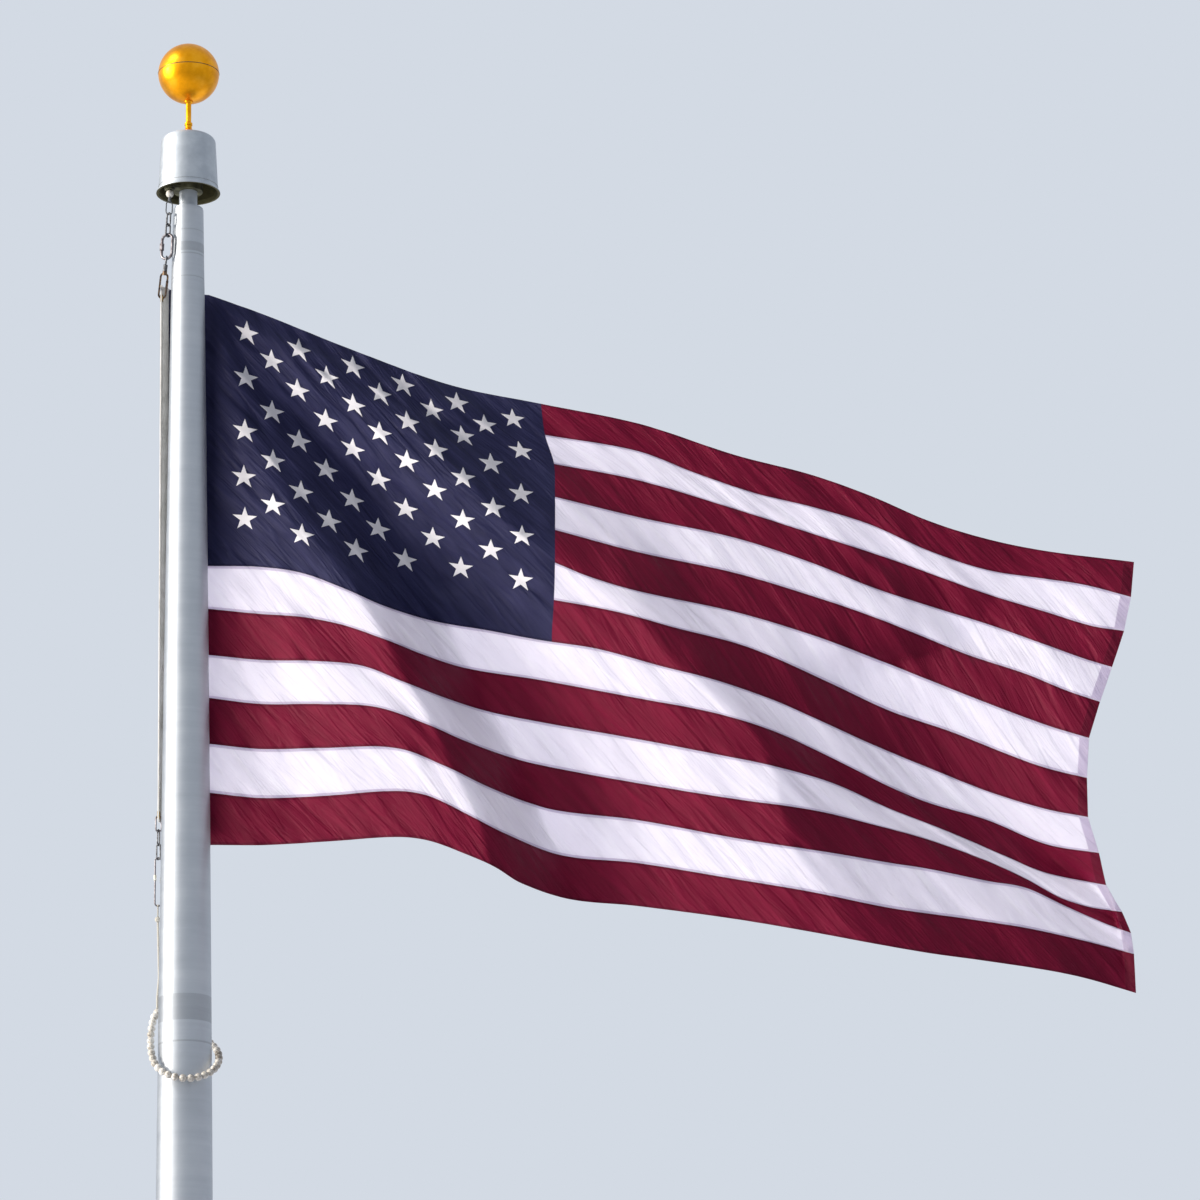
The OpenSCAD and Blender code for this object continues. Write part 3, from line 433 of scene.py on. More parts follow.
bpy.ops.mesh.primitive_torus_add(major_segments=96, minor_segments=10, major_radius=BALL_R - 0.0002,
                                 minor_radius=0.0013, location=(0, 0, BALL_Z))
settle(bpy.context.object, "ball_seam_bead", bronze, "truck")

# Halyard fittings: bent steel links closed by welding, a quick link with a screwed sleeve, and a
# swivel snap. They are zinc plated, and the plating has gone dark and patchy outdoors.
dark_zinc, shader = mottled("weathered_zinc_plating", ("#5c5d60", 0.8, 0.5),
                            {"Scale": 150, "Detail": 5, "Roughness": 0.6},
                            [(0.34, "#333335"), (0.5, "#5e5f62"), (0.68, "#8d9094")], bump=(0.4, 0.0003))
dress(dark_zinc, "upper_link", "lower_link", "snap_swivel", "lower_ring", "lower_shackle")

# White plastic sleeves slipped over the long link: a smooth extruded tube, yellowed in patches.
sleeve, shader = mottled("white_vinyl_tube", ("#dcdcd8", 0.0, 0.35), {"Scale": 90, "Detail": 3},
                         [(0.38, "#c9c4b2"), (0.58, "#e3e3df")])
dress(sleeve, "long_link_collars")

# Pressed brass eyelets: bright on the rolled rim and brown in the seat.
brass, shader = mottled("pressed_brass", ("#b08d3e", 1.0, 0.32), {"Scale": 170, "Detail": 4},
                        [(0.36, "#6f5526"), (0.52, "#a98536"), (0.68, "#cba852")])
dress(brass, "upper_grommet", "lower_grommet")

# Retainer: a string of moulded beads round the pole that holds the foot of the halyard in, and the
# braided polyester cord that ties it to the long link. The beads have gone grey where they rub.
bead, tree, shader, spot = start_material("rubbed_moulded_beads", "#cfccc5", 0.0, 0.4)
shader.inputs["IOR"].default_value = 1.5
each = add_node(tree, "TexNoise", {"Scale": 16, "Detail": 2}, {"Vector": spot})
rub = add_node(tree, "TexNoise", {"Scale": 140, "Detail": 6, "Roughness": 0.7}, {"Vector": spot})
both = add_node(tree, "Math", {"operation": "ADD"}, {0: each, 1: rub})
mean = add_node(tree, "Math", {"operation": "MULTIPLY", 1: 0.5}, {0: both})
tone = add_node(tree, "ValToRGB", {"ramp": [(0.38, "#6f665c"), (0.48, "#b7b2a9"), (0.56, "#e6e4df")]},
                {"Fac": mean})
scuffs = add_node(tree, "Bump", {"Strength": 0.35, "Distance": 0.0004}, {"Height": rub})
feed(tree, shader, tone, raised=scuffs)
dress(bead, "retainer_ring")

# Braided polyester cord: crossing plaits, drawn three millimetres apart, with painted shade in the grooves
# between them.
braid, tree, shader, spot = start_material("braided_polyester_cord", "#c9c6bd", 0.0, 0.8)
heights = []
for tilt in (0.75, -0.75):
    lay = add_node(tree, "Mapping", {"Rotation": (tilt, tilt, 0.0)}, {"Vector": spot})
    heights.append(add_node(tree, "TexWave", {"Scale": 105, "bands_direction": "Z"},
                            {"Vector": lay}).outputs["Fac"])
plait = add_node(tree, "Math", {"operation": "MAXIMUM"}, {0: heights[0], 1: heights[1]})
tone = add_node(tree, "ValToRGB", {"ramp": [(0.35, "#7d776a"), (0.85, "#d8d5cc")]}, {"Fac": plait})
raised = add_node(tree, "Bump", {"Strength": 0.9, "Distance": 0.0008}, {"Height": plait})
feed(tree, shader, tone, raised=raised)
dress(braid, "retainer_cord")

# Header: a strip of bleached cotton canvas sewn over the flag's hoist edge, folded round behind the
# pole, with a brass eyelet at each end and a row of lock stitch along both edges.
HEADER_TOP = 7.370
HOIST = 1.829
CANVAS_T = 0.0042
HEADER_LINE = [(-0.0713, 0.0642), (-0.0868, 0.0459), (-0.0868, 0.0179)]
EYELETS = (7.325, 5.563)
EYELET_Y = 0.0319
EYELET_HOLE = 0.0104
CORNER_R = 0.011
canvas, tree, shader, flat_place = start_material("bleached_cotton_canvas", "#d9d7d2", 0.0, 0.85,
                                                  "flat_cloth")
shader.inputs["Sheen Weight"].default_value = 0.2
# Plain-woven canvas: a grid of threads, drawn 1.6 mm apart so that it shows, grey with handling,
# and stitch rows as short raised dashes 6 mm from both edges.
threads = [add_node(tree, "TexWave", {"Scale": 100, "bands_direction": axis},
                    {"Vector": flat_place}).outputs["Fac"] for axis in ("X", "Y")]
weave = add_node(tree, "Math", {"operation": "MULTIPLY"}, {0: threads[0], 1: threads[1]})
grime = add_node(tree, "TexNoise", {"Scale": 11, "Detail": 6, "Roughness": 0.65}, {"Vector": flat_place})
tone = add_node(tree, "ValToRGB", {"ramp": [(0.32, "#b9b6b1"), (0.48, "#dbd9d4"), (0.64, "#eae8e5")]},
                {"Fac": grime})
place = add_node(tree, "SeparateXYZ", {}, {0: flat_place})
dashes = add_node(tree, "Math", {"operation": "PINGPONG", 1: 0.002}, {0: place.outputs["Y"]})
dash = add_node(tree, "Math", {"operation": "GREATER_THAN", 1: 0.0006}, {0: dashes})
from_edge = add_node(tree, "Math", {"operation": "PINGPONG", 1: 0.026}, {0: place.outputs["X"]})
off_row = add_node(tree, "Math", {"operation": "COMPARE", 1: 0.006, 2: 0.0007}, {0: from_edge})
stitch = add_node(tree, "Math", {"operation": "MULTIPLY"}, {0: dash, 1: off_row})
sewn = add_node(tree, "Mix", {"data_type": "RGBA", 7: linear("#f2f1ee")}, {0: stitch, 6: tone})
lift = add_node(tree, "Math", {"operation": "MULTIPLY_ADD", 1: 2.0}, {0: stitch, 2: weave})
cloth_bump = add_node(tree, "Bump", {"Strength": 0.6, "Distance": 0.0004}, {"Height": lift})
feed(tree, shader, sewn.outputs[2], raised=cloth_bump)

seam_to_fold = math.dist(HEADER_LINE[0], HEADER_LINE[1])
header_wide = seam_to_fold + math.dist(HEADER_LINE[1], HEADER_LINE[2])
FOLD_BLEND = 0.009
WIDE_STEPS = 16
LONG_STEPS = 260


def on_header(across):
    """A point of the header's middle line in plan, at a distance from its sewn edge."""
    (ax, ay), (bx, by), (cx, _) = HEADER_LINE
    t = min(max((across - seam_to_fold + FOLD_BLEND) / (2 * FOLD_BLEND), 0), 1)
    turn = t * t * (3 - 2 * t)
    along_first = min(across, seam_to_fold) / seam_to_fold
    first = Vector((ax + (bx - ax) * along_first, ay + (by - ay) * along_first))
    if across > seam_to_fold:
        first = Vector((cx, by - (across - seam_to_fold)))
    slant = Vector((ay - by, bx - ax)).normalized()
    away = (slant * (1 - turn) + Vector((-1, 0)) * turn).normalized()
    return first + away * (CANVAS_T / 2 + 0.0004 - 0.0012 * math.sin(math.pi * t))


def to_piece(shape, name, material):
    """Turns a built shape into a piece, with its rims sharp."""
    shape.normal_update()
    for edge in shape.edges:
        edge.smooth = edge.calc_face_angle(0) <= 1.0
    mesh = bpy.data.meshes.new(name)
    shape.to_mesh(mesh)
    shape.free()
    mesh.materials.append(material)
    piece = bpy.data.objects.new(name, mesh)
    scene.collection.objects.link(piece)
    return piece


shape = bmesh.new()
uv = shape.loops.layers.uv.new("flat_cloth")
canvas_points = {}
for i in range(WIDE_STEPS + 1):
    across = header_wide * i / WIDE_STEPS
    spot_2d = on_header(across)
    from_free = header_wide - across
    cut = CORNER_R - math.sqrt(max(CORNER_R ** 2 - max(CORNER_R - from_free, 0) ** 2, 0))
    for j in range(LONG_STEPS + 1):
        z = HEADER_TOP - cut - (HOIST - 2 * cut) * j / LONG_STEPS
        sway = 0.0009 * noise.noise(Vector((across * 20, z * 6, 1.3)))
        canvas_points[i, j] = shape.verts.new((spot_2d.x - abs(sway), spot_2d.y + sway, z))
for i in range(WIDE_STEPS):
    for j in range(LONG_STEPS):
        corners = [(i, j), (i, j + 1), (i + 1, j + 1), (i + 1, j)]
        middle = sum((canvas_points[at].co for at in corners), Vector()) / 4
        if any(math.hypot(middle.y - EYELET_Y, middle.z - z) < EYELET_HOLE for z in EYELETS):
            continue
        face = shape.faces.new([canvas_points[at] for at in corners])
        face.smooth = True
        for loop, (a, b) in zip(face.loops, corners):
            loop[uv].uv = (header_wide * a / WIDE_STEPS, HOIST * b / LONG_STEPS)
loose = [vert for vert in shape.verts if not vert.link_faces]
bmesh.ops.delete(shape, geom=loose, context="VERTS")
bmesh.ops.recalc_face_normals(shape, faces=shape.faces)
header = to_piece(shape, "canvas_header", canvas)
bpy.ops.object.select_all(action="DESELECT")
bpy.context.view_layer.objects.active = header
header.select_set(True)
wall = header.modifiers.new("canvas_thickness", "SOLIDIFY")
wall.thickness = CANVAS_T
wall.offset = 0
bpy.ops.object.modifier_apply(modifier=wall.name)
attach(header, "truck")
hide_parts("header_strip")

# Flag: 200-denier nylon, thirteen stripes felled together with two rows of lock stitch, and a canton
# let in at the hoist. Each seam, from the top edge to the bottom one, is a listed line of picture pixels,
# and each fold a crest or hollow with its depth in metres.
FLY = 3.475
STRIPES = 13
CANTON_STRIPES = 7
CANTON_U = 0.4
POLE_U = 0.042
POLE_PX = 209
SEAMS = [
    [(209, 295), (265, 315), (350, 349), (450, 385), (542, 404), (640, 424), (735, 455), (812, 475),
     (871, 496), (929, 521), (987, 539), (1046, 551), (1134, 562)],
    [(545, 435), (637, 451), (695, 473), (754, 493), (812, 507), (871, 525), (929, 551), (987, 570),
     (1046, 579), (1085, 585), (1131, 597)],
    [(554, 464), (637, 480), (735, 509), (832, 540), (890, 559), (929, 573), (987, 594), (1046, 612),
     (1092, 626), (1124, 631)],
    [(555, 497), (637, 517), (735, 538), (812, 563), (871, 587), (929, 606), (987, 624), (1046, 645),
     (1085, 659), (1112, 667)],
    [(555, 530), (637, 552), (735, 573), (812, 596), (871, 616), (929, 639), (968, 655), (1026, 674),
     (1065, 690), (1100, 702)],
    [(556, 563), (590, 577), (637, 591), (735, 612), (812, 635), (871, 657), (929, 680), (987, 703),
     (1046, 725), (1089, 738)],
    [(555, 600), (618, 612), (676, 628), (735, 643), (773, 657), (832, 684), (890, 711), (949, 731),
     (1007, 754), (1046, 768), (1087, 778)],
    [(209, 566), (261, 567), (302, 573), (343, 588), (384, 606), (433, 621), (486, 630), (540, 640),
     (598, 649), (657, 665), (715, 680), (773, 700), (812, 717), (871, 744), (929, 768), (987, 791),
     (1046, 809), (1088, 817)],
    [(209, 609), (261, 614), (302, 617), (343, 625), (384, 639), (424, 655), (465, 668), (540, 680),
     (637, 698), (715, 713), (773, 731), (832, 758), (890, 787), (929, 803), (987, 820), (1046, 844),
     (1099, 853)],
    [(209, 655), (261, 660), (314, 661), (363, 666), (404, 682), (445, 698), (486, 711), (540, 722),
     (637, 739), (715, 754), (773, 766), (832, 783), (890, 809), (929, 824), (968, 840), (1007, 857),
     (1046, 873), (1106, 885)],
    [(209, 698), (261, 704), (322, 704), (376, 707), (424, 723), (465, 741), (506, 756), (540, 765),
     (637, 783), (735, 799), (812, 810), (871, 824), (929, 840), (987, 861), (1026, 879), (1057, 896),
     (1085, 906), (1122, 912)],
    [(210, 744), (261, 749), (322, 748), (396, 748), (445, 766), (486, 786), (526, 802), (560, 811),
     (637, 820), (735, 838), (832, 853), (890, 863), (929, 869), (987, 881), (1026, 888), (1065, 906),
     (1104, 923), (1131, 933)],
    [(211, 793), (261, 798), (322, 796), (396, 791), (429, 796), (465, 813), (506, 834), (560, 855),
     (637, 863), (735, 879), (812, 892), (890, 908), (968, 919), (1026, 928), (1085, 941), (1134, 954)],
    [(212, 845), (267, 845), (334, 841), (398, 837), (430, 841), (468, 855), (495, 867), (521, 883),
     (569, 899), (637, 906), (735, 919), (812, 932), (871, 943), (929, 953), (987, 961), (1046, 970),
     (1085, 978), (1136, 993)],
]
CANTON_EDGE = [(0, 541), (1, 545), (2, 554), (3, 555), (4, 555), (5, 555), (6, 554), (7, 552), (13, 560)]
FOLDS = [
    [(280, 205, 0.098), (1000, 205, 0.098)],
    [(330, 222, 0.09), (390, 235, 0.082), (448, 264, 0.06), (501, 298, 0.022), (562, 340, -0.012),
     (639, 385, -0.045), (722, 430, -0.057), (816, 476, -0.057), (867, 492, -0.057)],
    [(330, 228, 0.1), (385, 262, 0.108), (457, 335, 0.138), (546, 405, 0.15), (650, 460, 0.15),
     (745, 510, 0.146), (860, 560, 0.14), (910, 590, 0.14)],
    [(322, 247, 0.088), (390, 340, 0.065), (457, 424, 0.03), (529, 514, -0.005), (575, 583, -0.025),
     (668, 684, -0.055), (758, 766, -0.06), (844, 793, -0.06), (941, 871, -0.057)],
    [(322, 380, 0.155), (390, 490, 0.155), (457, 585, 0.145), (529, 670, 0.105), (575, 715, 0.08),
     (668, 780, 0.055), (758, 838, 0.05), (844, 900, 0.048), (941, 1000, 0.04)],
    [(540, 1012, 0.15), (575, 1007, 0.15), (645, 952, 0.15), (668, 868, 0.15), (690, 868, 0.15),
     (711, 890, 0.148), (773, 929, 0.146), (830, 1000, 0.146), (880, 1085, 0.14), (925, 1118, 0.13),
     (1000, 1128, 0.13)],
    [(560, 1140, 0.12), (597, 1134, 0.1), (667, 1115, 0.05), (738, 1092, 0.03), (778, 1090, 0.035),
     (853, 1102, 0.06), (885, 1108, 0.08), (994, 1142, 0.12)],
]


def through(knots, at, column=1):
    """A smooth curve through knots, read at a place and carried on straight beyond its ends."""
    if len(knots) == 2 or at <= knots[0][0] or at >= knots[-1][0]:
        first, second = (knots[-2], knots[-1]) if at >= knots[-1][0] else (knots[0], knots[1])
        rise = (second[column] - first[column]) / (second[0] - first[0])
        return first[column] + rise * (at - first[0])
    i = 0
    while knots[i + 1][0] < at:
        i += 1
    a, b = knots[i], knots[i + 1]
    before = knots[i - 1] if i else a
    after = knots[i + 2] if i + 2 < len(knots) else b
    span = b[0] - a[0]
    slope_a = (b[column] - before[column]) / (b[0] - before[0]) * span
    slope_b = (after[column] - a[column]) / (after[0] - a[0]) * span
    t = (at - a[0]) / span
    return ((2 * t ** 3 - 3 * t ** 2 + 1) * a[column] + (t ** 3 - 2 * t ** 2 + t) * slope_a
            + (3 * t ** 2 - 2 * t ** 3) * b[column] + (t ** 3 - t ** 2) * slope_b)


def fold_depth(px, py):
    """Depth of the cloth between the two folds on either side of a pixel: half straight, half rounded."""
    lines = [(through(fold, py), through(fold, py, 2)) for fold in FOLDS]
    for (left, left_depth), (right, right_depth) in zip(lines, lines[1:]):
        if px <= right or right == lines[-1][0]:
            t = min(max((px - left) / max(right - left, 1), 0), 1)
            return left_depth + (right_depth - left_depth) * (0.5 * t + 0.25 * (1 - math.cos(math.pi * t)))
    return lines[-1][1]


def wrinkle(along, down):
    """Small wrinkles in metres, at a place on the flat cloth in metres from the top hoist corner."""
    seam = abs(down / HOIST * STRIPES - round(down / HOIST * STRIPES)) * HOIST / STRIPES
    reach = math.hypot(along + 0.1, down + 0.05)
    turn = math.atan2(down + 0.05, along + 0.1)
    slant_a = along * 0.8 + down * 0.6
    slant_b = along * -0.6 + down * 0.8
    fan = noise.noise(Vector((turn * 13, reach * 0.9, 2.7))) * 0.03 * reach * math.exp(-(reach / 0.95) ** 2)
    drift = noise.noise(Vector((slant_a * 1.4, slant_b * 6.0, 8.1))) * 0.018
    fine = noise.noise(Vector((slant_a * 5.0, slant_b * 21.0, 4.4))) * 0.009
    pucker = noise.noise(Vector((slant_a * 8.0, slant_b * 26.0, 6.2))) * 0.012
    at_seam = math.exp(-(seam / 0.024) ** 2) * max(1 - along / 2.6, 0.25)
    ridge = math.exp(-((down - 0.085) / 0.024) ** 2 - ((along - 0.8) / 0.42) ** 4) * -0.012
    return fan + drift + fine + ridge + pucker * at_seam


def row_px(v):
    """Where the canton's edge and the fly edge stand in the picture on a row."""
    k = min(int(v), STRIPES - 1)
    fly = SEAMS[k][-1][0] + (SEAMS[k + 1][-1][0] - SEAMS[k][-1][0]) * (v - k)
    return through(CANTON_EDGE, v), fly


def between_seams(v, px):
    """Height in the picture at a column, straight between the seams above and below a row."""
    k = min(int(v), STRIPES - 1)
    upper, lower = through(SEAMS[k], px), through(SEAMS[k + 1], px)
    return upper + (lower - upper) * (v - k)


def row_py(v, px):
    """Height in the picture of a row of the cloth, at a column of the picture."""
    edge = through(CANTON_EDGE, v)
    if v >= CANTON_STRIPES or px > edge:
        return between_seams(v, px)
    top, foot = through(SEAMS[0], px), through(SEAMS[CANTON_STRIPES], px)
    edge_top, edge_foot = through(SEAMS[0], edge), through(SEAMS[CANTON_STRIPES], edge)
    stray = between_seams(v, edge) - edge_top - (edge_foot - edge_top) * v / CANTON_STRIPES
    share = max(px - POLE_PX, 0) / (edge - POLE_PX)
    return top + (foot - top) * v / CANTON_STRIPES + stray * share ** 2


WRAP_R = 0.096


def cloth_point(u, v):
    """A point of the cloth, at a share u of its length from the hoist and v stripes down."""
    canton_px, fly_px = row_px(v)
    wrinkles = wrinkle(u * FLY, v / STRIPES * HOIST)
    if u >= POLE_U:
        if u < CANTON_U:
            px = POLE_PX + (canton_px - POLE_PX) * (u - POLE_U) / (CANTON_U - POLE_U)
        else:
            px = canton_px + (fly_px - canton_px) * (u - CANTON_U) / (1 - CANTON_U)
        py = row_py(v, px)
        calm = min((u - POLE_U) / 0.03, 1)
        return seen_at(px, py, fold_depth(px, py) + wrinkles * calm)
    join = seen_at(POLE_PX, row_py(v, POLE_PX), fold_depth(POLE_PX, row_py(v, POLE_PX)))
    share = u / POLE_U
    start = math.atan2(HEADER_LINE[0][1], HEADER_LINE[0][0])
    arc = WRAP_R * (start - math.pi / 2)
    flat = join.x
    run = share * (arc + flat)
    if run < arc:
        bearing = start - run / WRAP_R
        x, y = WRAP_R * math.cos(bearing), WRAP_R * math.sin(bearing)
    else:
        x, y = run - arc, WRAP_R + (join.y - WRAP_R) * (run - arc) / flat
    header_z = HEADER_TOP - HOIST * v / STRIPES
    return Vector((x, y, header_z + (join.z - header_z) * share))


WRAP_COLUMNS = 14
CANTON_COLUMNS = 150
FLY_COLUMNS = 220
ROW_SPOTS = (0, 0.045, 0.11, 0.22, 0.36, 0.5, 0.64, 0.78, 0.89, 0.955)
ROWS_A_STRIPE = len(ROW_SPOTS)
rows = [k + spot for k in range(STRIPES) for spot in ROW_SPOTS] + [STRIPES]
columns = ([POLE_U * i / WRAP_COLUMNS for i in range(WRAP_COLUMNS)]
           + [POLE_U + (CANTON_U - POLE_U) * i / CANTON_COLUMNS for i in range(CANTON_COLUMNS)]
           + [CANTON_U + (1 - CANTON_U) * i / FLY_COLUMNS for i in range(FLY_COLUMNS + 1)])
canton_end = WRAP_COLUMNS + CANTON_COLUMNS
cloth = [[cloth_point(u, v) for u in columns] for v in rows]
CLOTH_T = 0.0014


def cloth_away(r, c):
    """Direction out of the cloth's front face at a grid point."""
    r0, r1 = max(r - 1, 0), min(r + 1, len(rows) - 1)
    c0, c1 = max(c - 1, 0), min(c + 1, len(columns) - 1)
    return (cloth[r1][c] - cloth[r0][c]).cross(cloth[r][c1] - cloth[r][c0]).normalized()


def sewn_piece(name, panels, material):
    """One colour of the flag: its panels are (first row, last row, first column, last column)."""
    shape = bmesh.new()
    flat_place = shape.loops.layers.uv.new("flat_cloth")
    for row_a, row_b, col_a, col_b in panels:
        points = {}
        for r in range(row_a, row_b + 1):
            for c in range(col_a, col_b + 1):
                away = cloth_away(r, c) * CLOTH_T / 2
                points[r, c, 1] = shape.verts.new(cloth[r][c] + away)
                points[r, c, -1] = shape.verts.new(cloth[r][c] - away)
        border = ([(row_a, c) for c in range(col_a, col_b)] + [(r, col_b) for r in range(row_a, row_b)]
                  + [(row_b, c) for c in range(col_b, col_a, -1)]
                  + [(r, col_a) for r in range(row_b, row_a, -1)])
        faces = [[(r + 1, c, side), (r + 1, c + 1, side), (r, c + 1, side), (r, c, side)][::side]
                 for side in (1, -1) for r in range(row_a, row_b) for c in range(col_a, col_b)]
        faces += [[(*one, 1), (*two, 1), (*two, -1), (*one, -1)]
                  for one, two in zip(border, border[1:] + border[:1])]
        for corners in faces:
            face = shape.faces.new([points[at] for at in corners])
            face.smooth = True
            for loop, (row, column, _) in zip(face.loops, corners):
                loop[flat_place].uv = (columns[column] * FLY, HOIST * rows[row] / STRIPES)
    return to_piece(shape, name, material)


def nylon(name, dark, colour, light, thread, gloss, sheer, seams_from):
    """One dyed colour of the nylon, as sheer as its dye leaves it, with seams below a height."""
    material, tree, shader, flat_place = start_material(name, colour, 0.0, 0.42, "flat_cloth")
    shader.inputs["IOR"].default_value = 1.53
    shader.inputs["Specular IOR Level"].default_value = gloss
    place = add_node(tree, "SeparateXYZ", {}, {0: flat_place})
    # The filaments are a fifth of a millimetre apart, and are drawn every 1.5 mm so that they show.
    yarn = [add_node(tree, "TexWave", {"Scale": 107, "bands_direction": axis},
                     {"Vector": flat_place}).outputs["Fac"] for axis in ("X", "Y")]
    weave = add_node(tree, "Math", {"operation": "MULTIPLY"}, {0: yarn[0], 1: yarn[1]})
    # Crumple: slanting creases a few centimetres apart, as in cloth that has been wet and blown, with painted
    # shade in them and painted light on their ridges.
    slant = add_node(tree, "Mapping", {"vector_type": "TEXTURE", "Rotation": (0, 0, 0.75),
                                       "Scale": (0.2, 0.03, 1)}, {"Vector": flat_place})
    crumple = add_node(tree, "TexNoise", {"Scale": 1, "Detail": 3, "Roughness": 0.5, "Distortion": 0.6},
                       {"Vector": slant})
    crease_shade_and_light = add_node(tree, "ValToRGB", {"ramp": [(0.3, dark), (0.5, colour), (0.72, light)]},
                     {"Fac": crumple})
    # Seams: each stripe's edge is felled, four layers thick, under two rows of lock stitch.
    to_seam = add_node(tree, "Math", {"operation": "PINGPONG", 1: HOIST / STRIPES / 2},
                       {0: place.outputs["Y"]})
    past_start = add_node(tree, "Math", {"operation": "GREATER_THAN", 1: seams_from}, {0: place.outputs["Y"]})
    felled = add_node(tree, "MapRange", {"From Min": 0.0085, "From Max": 0.007}, {"Value": to_seam})
    seams = add_node(tree, "Math", {"operation": "MULTIPLY"}, {0: felled, 1: past_start})
    to_fly = add_node(tree, "Math", {"operation": "SUBTRACT", 0: FLY}, {1: place.outputs["X"]})
    fly_hem = add_node(tree, "MapRange", {"From Min": 0.0375, "From Max": 0.036}, {"Value": to_fly})
    layers = add_node(tree, "Math", {"operation": "MAXIMUM"}, {0: seams, 1: fly_hem})
    rows_at = add_node(tree, "Math", {"operation": "PINGPONG", 1: 0.0035}, {0: to_seam})
    on_row = add_node(tree, "Math", {"operation": "COMPARE", 1: 0.0018, 2: 0.0006}, {0: rows_at})
    hem_rows = add_node(tree, "Math", {"operation": "PINGPONG", 1: 0.0045}, {0: to_fly})
    on_hem_row = add_node(tree, "Math", {"operation": "COMPARE", 1: 0.0022, 2: 0.0006}, {0: hem_rows})
    seam_row = add_node(tree, "Math", {"operation": "MULTIPLY"}, {0: on_row, 1: seams})
    hem_row = add_node(tree, "Math", {"operation": "MULTIPLY"}, {0: on_hem_row, 1: fly_hem})
    stitches = add_node(tree, "Math", {"operation": "MAXIMUM"}, {0: seam_row, 1: hem_row})
    thick = add_node(tree, "Mix", {"data_type": "RGBA", "blend_type": "MULTIPLY", 7: linear("#dcd6e2")},
                     {0: layers, 6: crease_shade_and_light})
    sewn = add_node(tree, "Mix", {"data_type": "RGBA", 7: linear(thread)}, {0: stitches, 6: thick.outputs[2]})
    high = add_node(tree, "Math", {"operation": "MULTIPLY_ADD", 1: 0.05}, {0: weave, 2: crumple})
    higher = add_node(tree, "Math", {"operation": "MULTIPLY_ADD", 1: 0.03}, {0: layers, 2: high})
    bump = add_node(tree, "Bump", {"Strength": 0.6, "Distance": 0.02}, {"Height": higher})
    feed(tree, shader, sewn.outputs[2], raised=bump)
    # Light comes through the single layer and makes the cloth glow where the sun is behind it.
    through_cloth = add_node(tree, "BsdfTranslucent", {}, {"Color": sewn.outputs[2], "Normal": bump})
    both = add_node(tree, "MixShader", {0: sheer}, {1: shader, 2: through_cloth})
    tree.links.new(both.outputs[0], tree.nodes["Material Output"].inputs["Surface"])
    return material


stripe_rows = [(k * ROWS_A_STRIPE, (k + 1) * ROWS_A_STRIPE, canton_end if k < CANTON_STRIPES else 0,
                len(columns) - 1) for k in range(STRIPES)]
# The colours of each dye: painted shade for the creases, its own colour, painted light for the ridges, and
# its thread.
canton = sewn_piece("canton_cloth", [(0, CANTON_STRIPES * ROWS_A_STRIPE, 0, canton_end)],
                    nylon("navy_dyed_nylon", "#202142", "#28294c", "#313256", "#191a34", 0.1, 0.04, 0.97))
red_cloth = sewn_piece("red_stripe_cloth", stripe_rows[0::2],
                       nylon("red_dyed_nylon", "#710e2f", "#791033", "#821338", "#5e0b27", 0.1, 0.1, 0.0))
white_cloth = sewn_piece("white_stripe_cloth", stripe_rows[1::2],
                         nylon("white_nylon", "#e5e3ea", "#e8e6ed", "#ebeaef", "#dcd8e2", 0.2, 0.6, 0.0))
short_stripe = HOIST / STRIPES * FLY * (1 - CANTON_U)
long_stripe = HOIST / STRIPES * FLY
for piece, node, finish, flat, area in (
        (canton, "canton", "navy_cloth", (HOIST * CANTON_STRIPES / STRIPES, FLY * CANTON_U), None),
        (red_cloth, "red_stripes", "red_cloth", (HOIST, FLY), 4 * short_stripe + 3 * long_stripe),
        (white_cloth, "white_stripes", "white_cloth", (HOIST, FLY), 3 * short_stripe + 3 * long_stripe)):
    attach(piece, "truck")
    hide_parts(node)

# Stars: fifty, embroidered in white polyester through the canton, in rows of five and four. Each is
# placed by its middle in the picture, and stands a thread's height proud on both faces.
STAR_R = 0.046
STAR_NOTCH = 0.382
STAR_SPLITS = 4
STAR_PROUD = 0.0021
STARS = [
    (247, 333), (246, 378), (245, 431), (244, 477), (245, 519), (272, 361), (272, 412), (273, 461),
    (273, 505), (299, 350), (298, 390), (299, 441), (301, 492), (302, 535), (327, 377), (326, 420),
    (326, 470), (329, 521), (353, 367), (354, 405), (353, 449), (352, 500), (356, 550), (380, 394),
    (380, 433), (379, 479), (378, 529), (403, 385), (408, 422), (407, 461), (406, 509), (405, 560),
    (432, 410), (436, 450), (435, 490), (433, 538), (457, 403), (463, 436), (463, 478), (463, 520),
    (461, 568), (485, 425), (491, 464), (493, 508), (491, 550), (513, 419), (521, 451), (521, 494),
    (522, 536), (521, 580)]


def on_cloth(u, v):
    """A point of the canton's middle surface and its outward direction, between the grid's points."""
    c = max(i for i in range(len(columns) - 1) if columns[i] <= u)
    r = max(i for i in range(len(rows) - 1) if rows[i] <= v)
    s = (u - columns[c]) / (columns[c + 1] - columns[c])
    t = (v - rows[r]) / (rows[r + 1] - rows[r])
    upper = cloth[r][c].lerp(cloth[r][c + 1], s)
    lower = cloth[r + 1][c].lerp(cloth[r + 1][c + 1], s)
    along = cloth[r][c + 1] - cloth[r][c]
    down = cloth[r + 1][c] - cloth[r][c]
    return upper.lerp(lower, t), down.cross(along).normalized()


def cloth_place(px, py):
    """The share of the length and the stripe at which the canton is seen at a pixel."""
    low, high = 0.0, float(CANTON_STRIPES)
    for _ in range(18):
        v = (low + high) / 2
        low, high = (v, high) if row_py(v, px) < py else (low, v)
    return POLE_U + (CANTON_U - POLE_U) * (px - POLE_PX) / (row_px(v)[0] - POLE_PX), v


thread, tree, shader, flat_place = start_material("white_embroidery_thread", "#e8e7ec", 0.0, 0.55,
                                                  "flat_cloth")
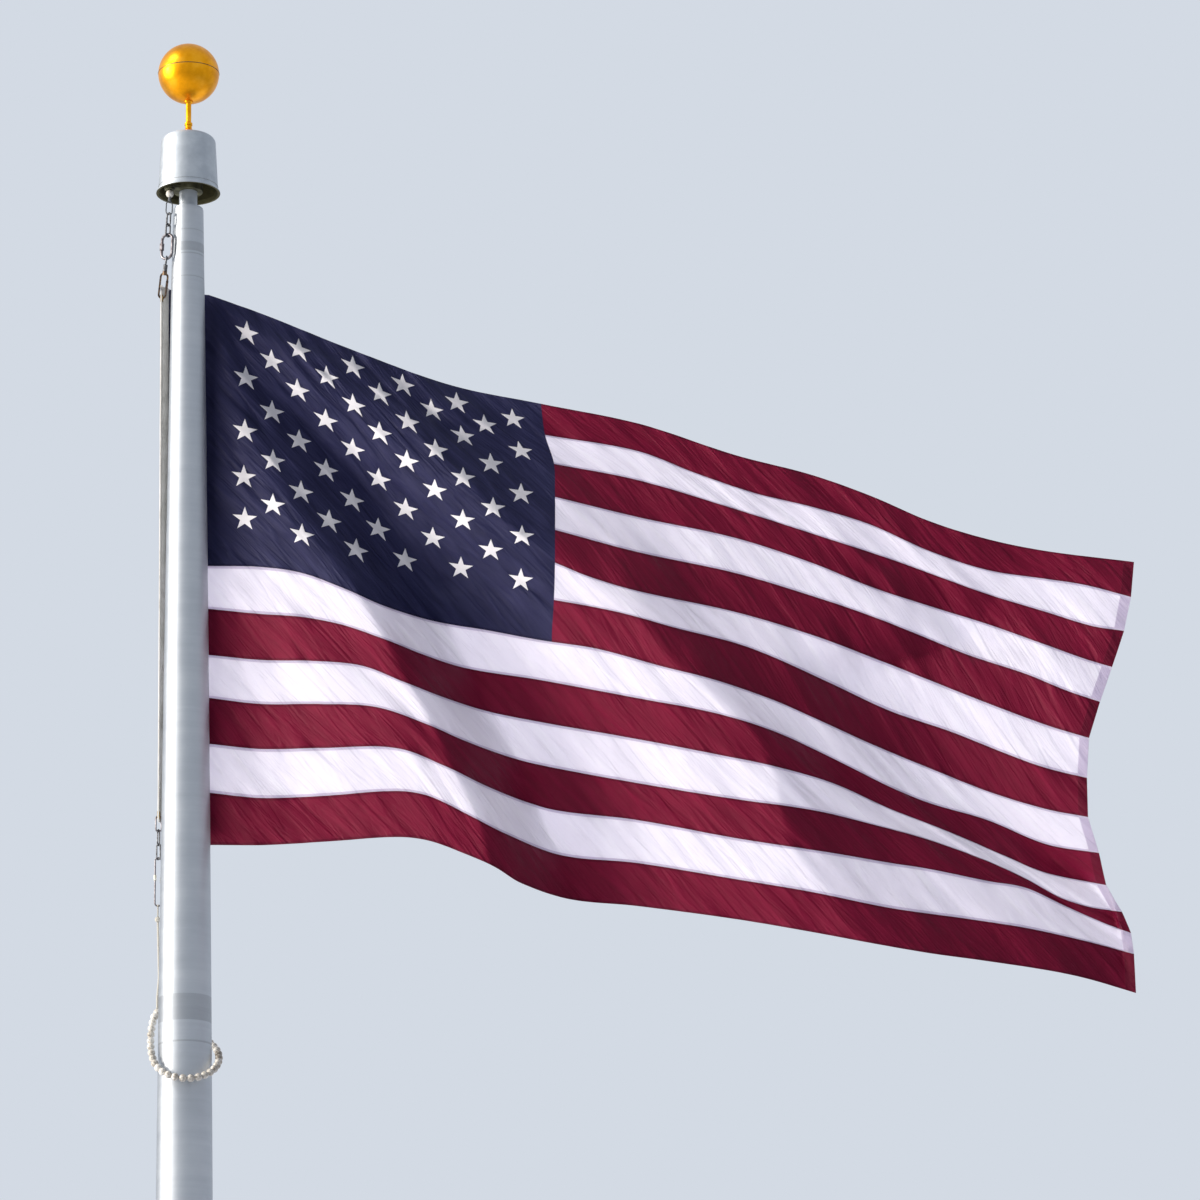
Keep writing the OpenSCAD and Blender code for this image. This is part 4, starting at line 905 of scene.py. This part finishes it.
# Satin stitch: glossy parallel threads, drawn 2 mm apart, that run across the star, with painted shade in the
# grooves between them.
shader.inputs["Sheen Weight"].default_value = 0.3
floss = add_node(tree, "TexWave", {"Scale": 80, "Distortion": 0.6, "bands_direction": "X"},
                 {"Vector": flat_place})
tone = add_node(tree, "ValToRGB", {"ramp": [(0.1, "#cfcdd8"), (0.6, "#eeedf2")]},
                {"Fac": floss.outputs["Fac"]})
raised = add_node(tree, "Bump", {"Strength": 0.4, "Distance": 0.0005}, {"Height": floss.outputs["Fac"]})
feed(tree, shader, tone, raised=raised)

outline = [Vector((math.sin(math.pi / 5 * i), -math.cos(math.pi / 5 * i)))
           * STAR_R * (STAR_NOTCH if i % 2 else 1) for i in range(10)]
rim = [outline[i // STAR_SPLITS].lerp(outline[(i // STAR_SPLITS + 1) % 10], i % STAR_SPLITS / STAR_SPLITS)
       for i in range(10 * STAR_SPLITS)]
shape = bmesh.new()
uv = shape.loops.layers.uv.new("flat_cloth")
for px, py in STARS:
    middle_u, middle_v = cloth_place(px, py)
    sides = []
    for side in (1, -1):
        rings = []
        for ring in range(STAR_SPLITS + 1):
            share = ring / STAR_SPLITS
            height = STAR_PROUD - 0.0004 * share ** 3
            circle = []
            for spot_2d in rim if ring else [Vector((0, 0))]:
                at_u = middle_u + spot_2d.x * share / FLY
                at_v = min(max(middle_v + spot_2d.y * share / HOIST * STRIPES, 0), CANTON_STRIPES)
                point, away = on_cloth(at_u, at_v)
                circle.append((shape.verts.new(point + away * height * side), at_u, at_v))
            rings.append(circle)
        sides.append(rings)
    faces = []
    for i in range(len(rim)):
        j = (i + 1) % len(rim)
        for side, rings in zip((1, -1), sides):
            faces.append([rings[0][0], rings[1][i], rings[1][j]][::side])
            for inner, outer in zip(rings[1:], rings[2:]):
                faces.append([inner[i], outer[i], outer[j], inner[j]][::side])
        faces.append([sides[0][-1][i], sides[1][-1][i], sides[1][-1][j], sides[0][-1][j]])
    for corners in faces:
        face = shape.faces.new([vert for vert, _, _ in corners])
        face.smooth = True
        for loop, (_, at_u, at_v) in zip(face.loops, corners):
            loop[uv].uv = (at_u * FLY, at_v * HOIST / STRIPES)
bmesh.ops.recalc_face_normals(shape, faces=shape.faces)
stars = to_piece(shape, "embroidered_stars", thread)
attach(stars, "truck")
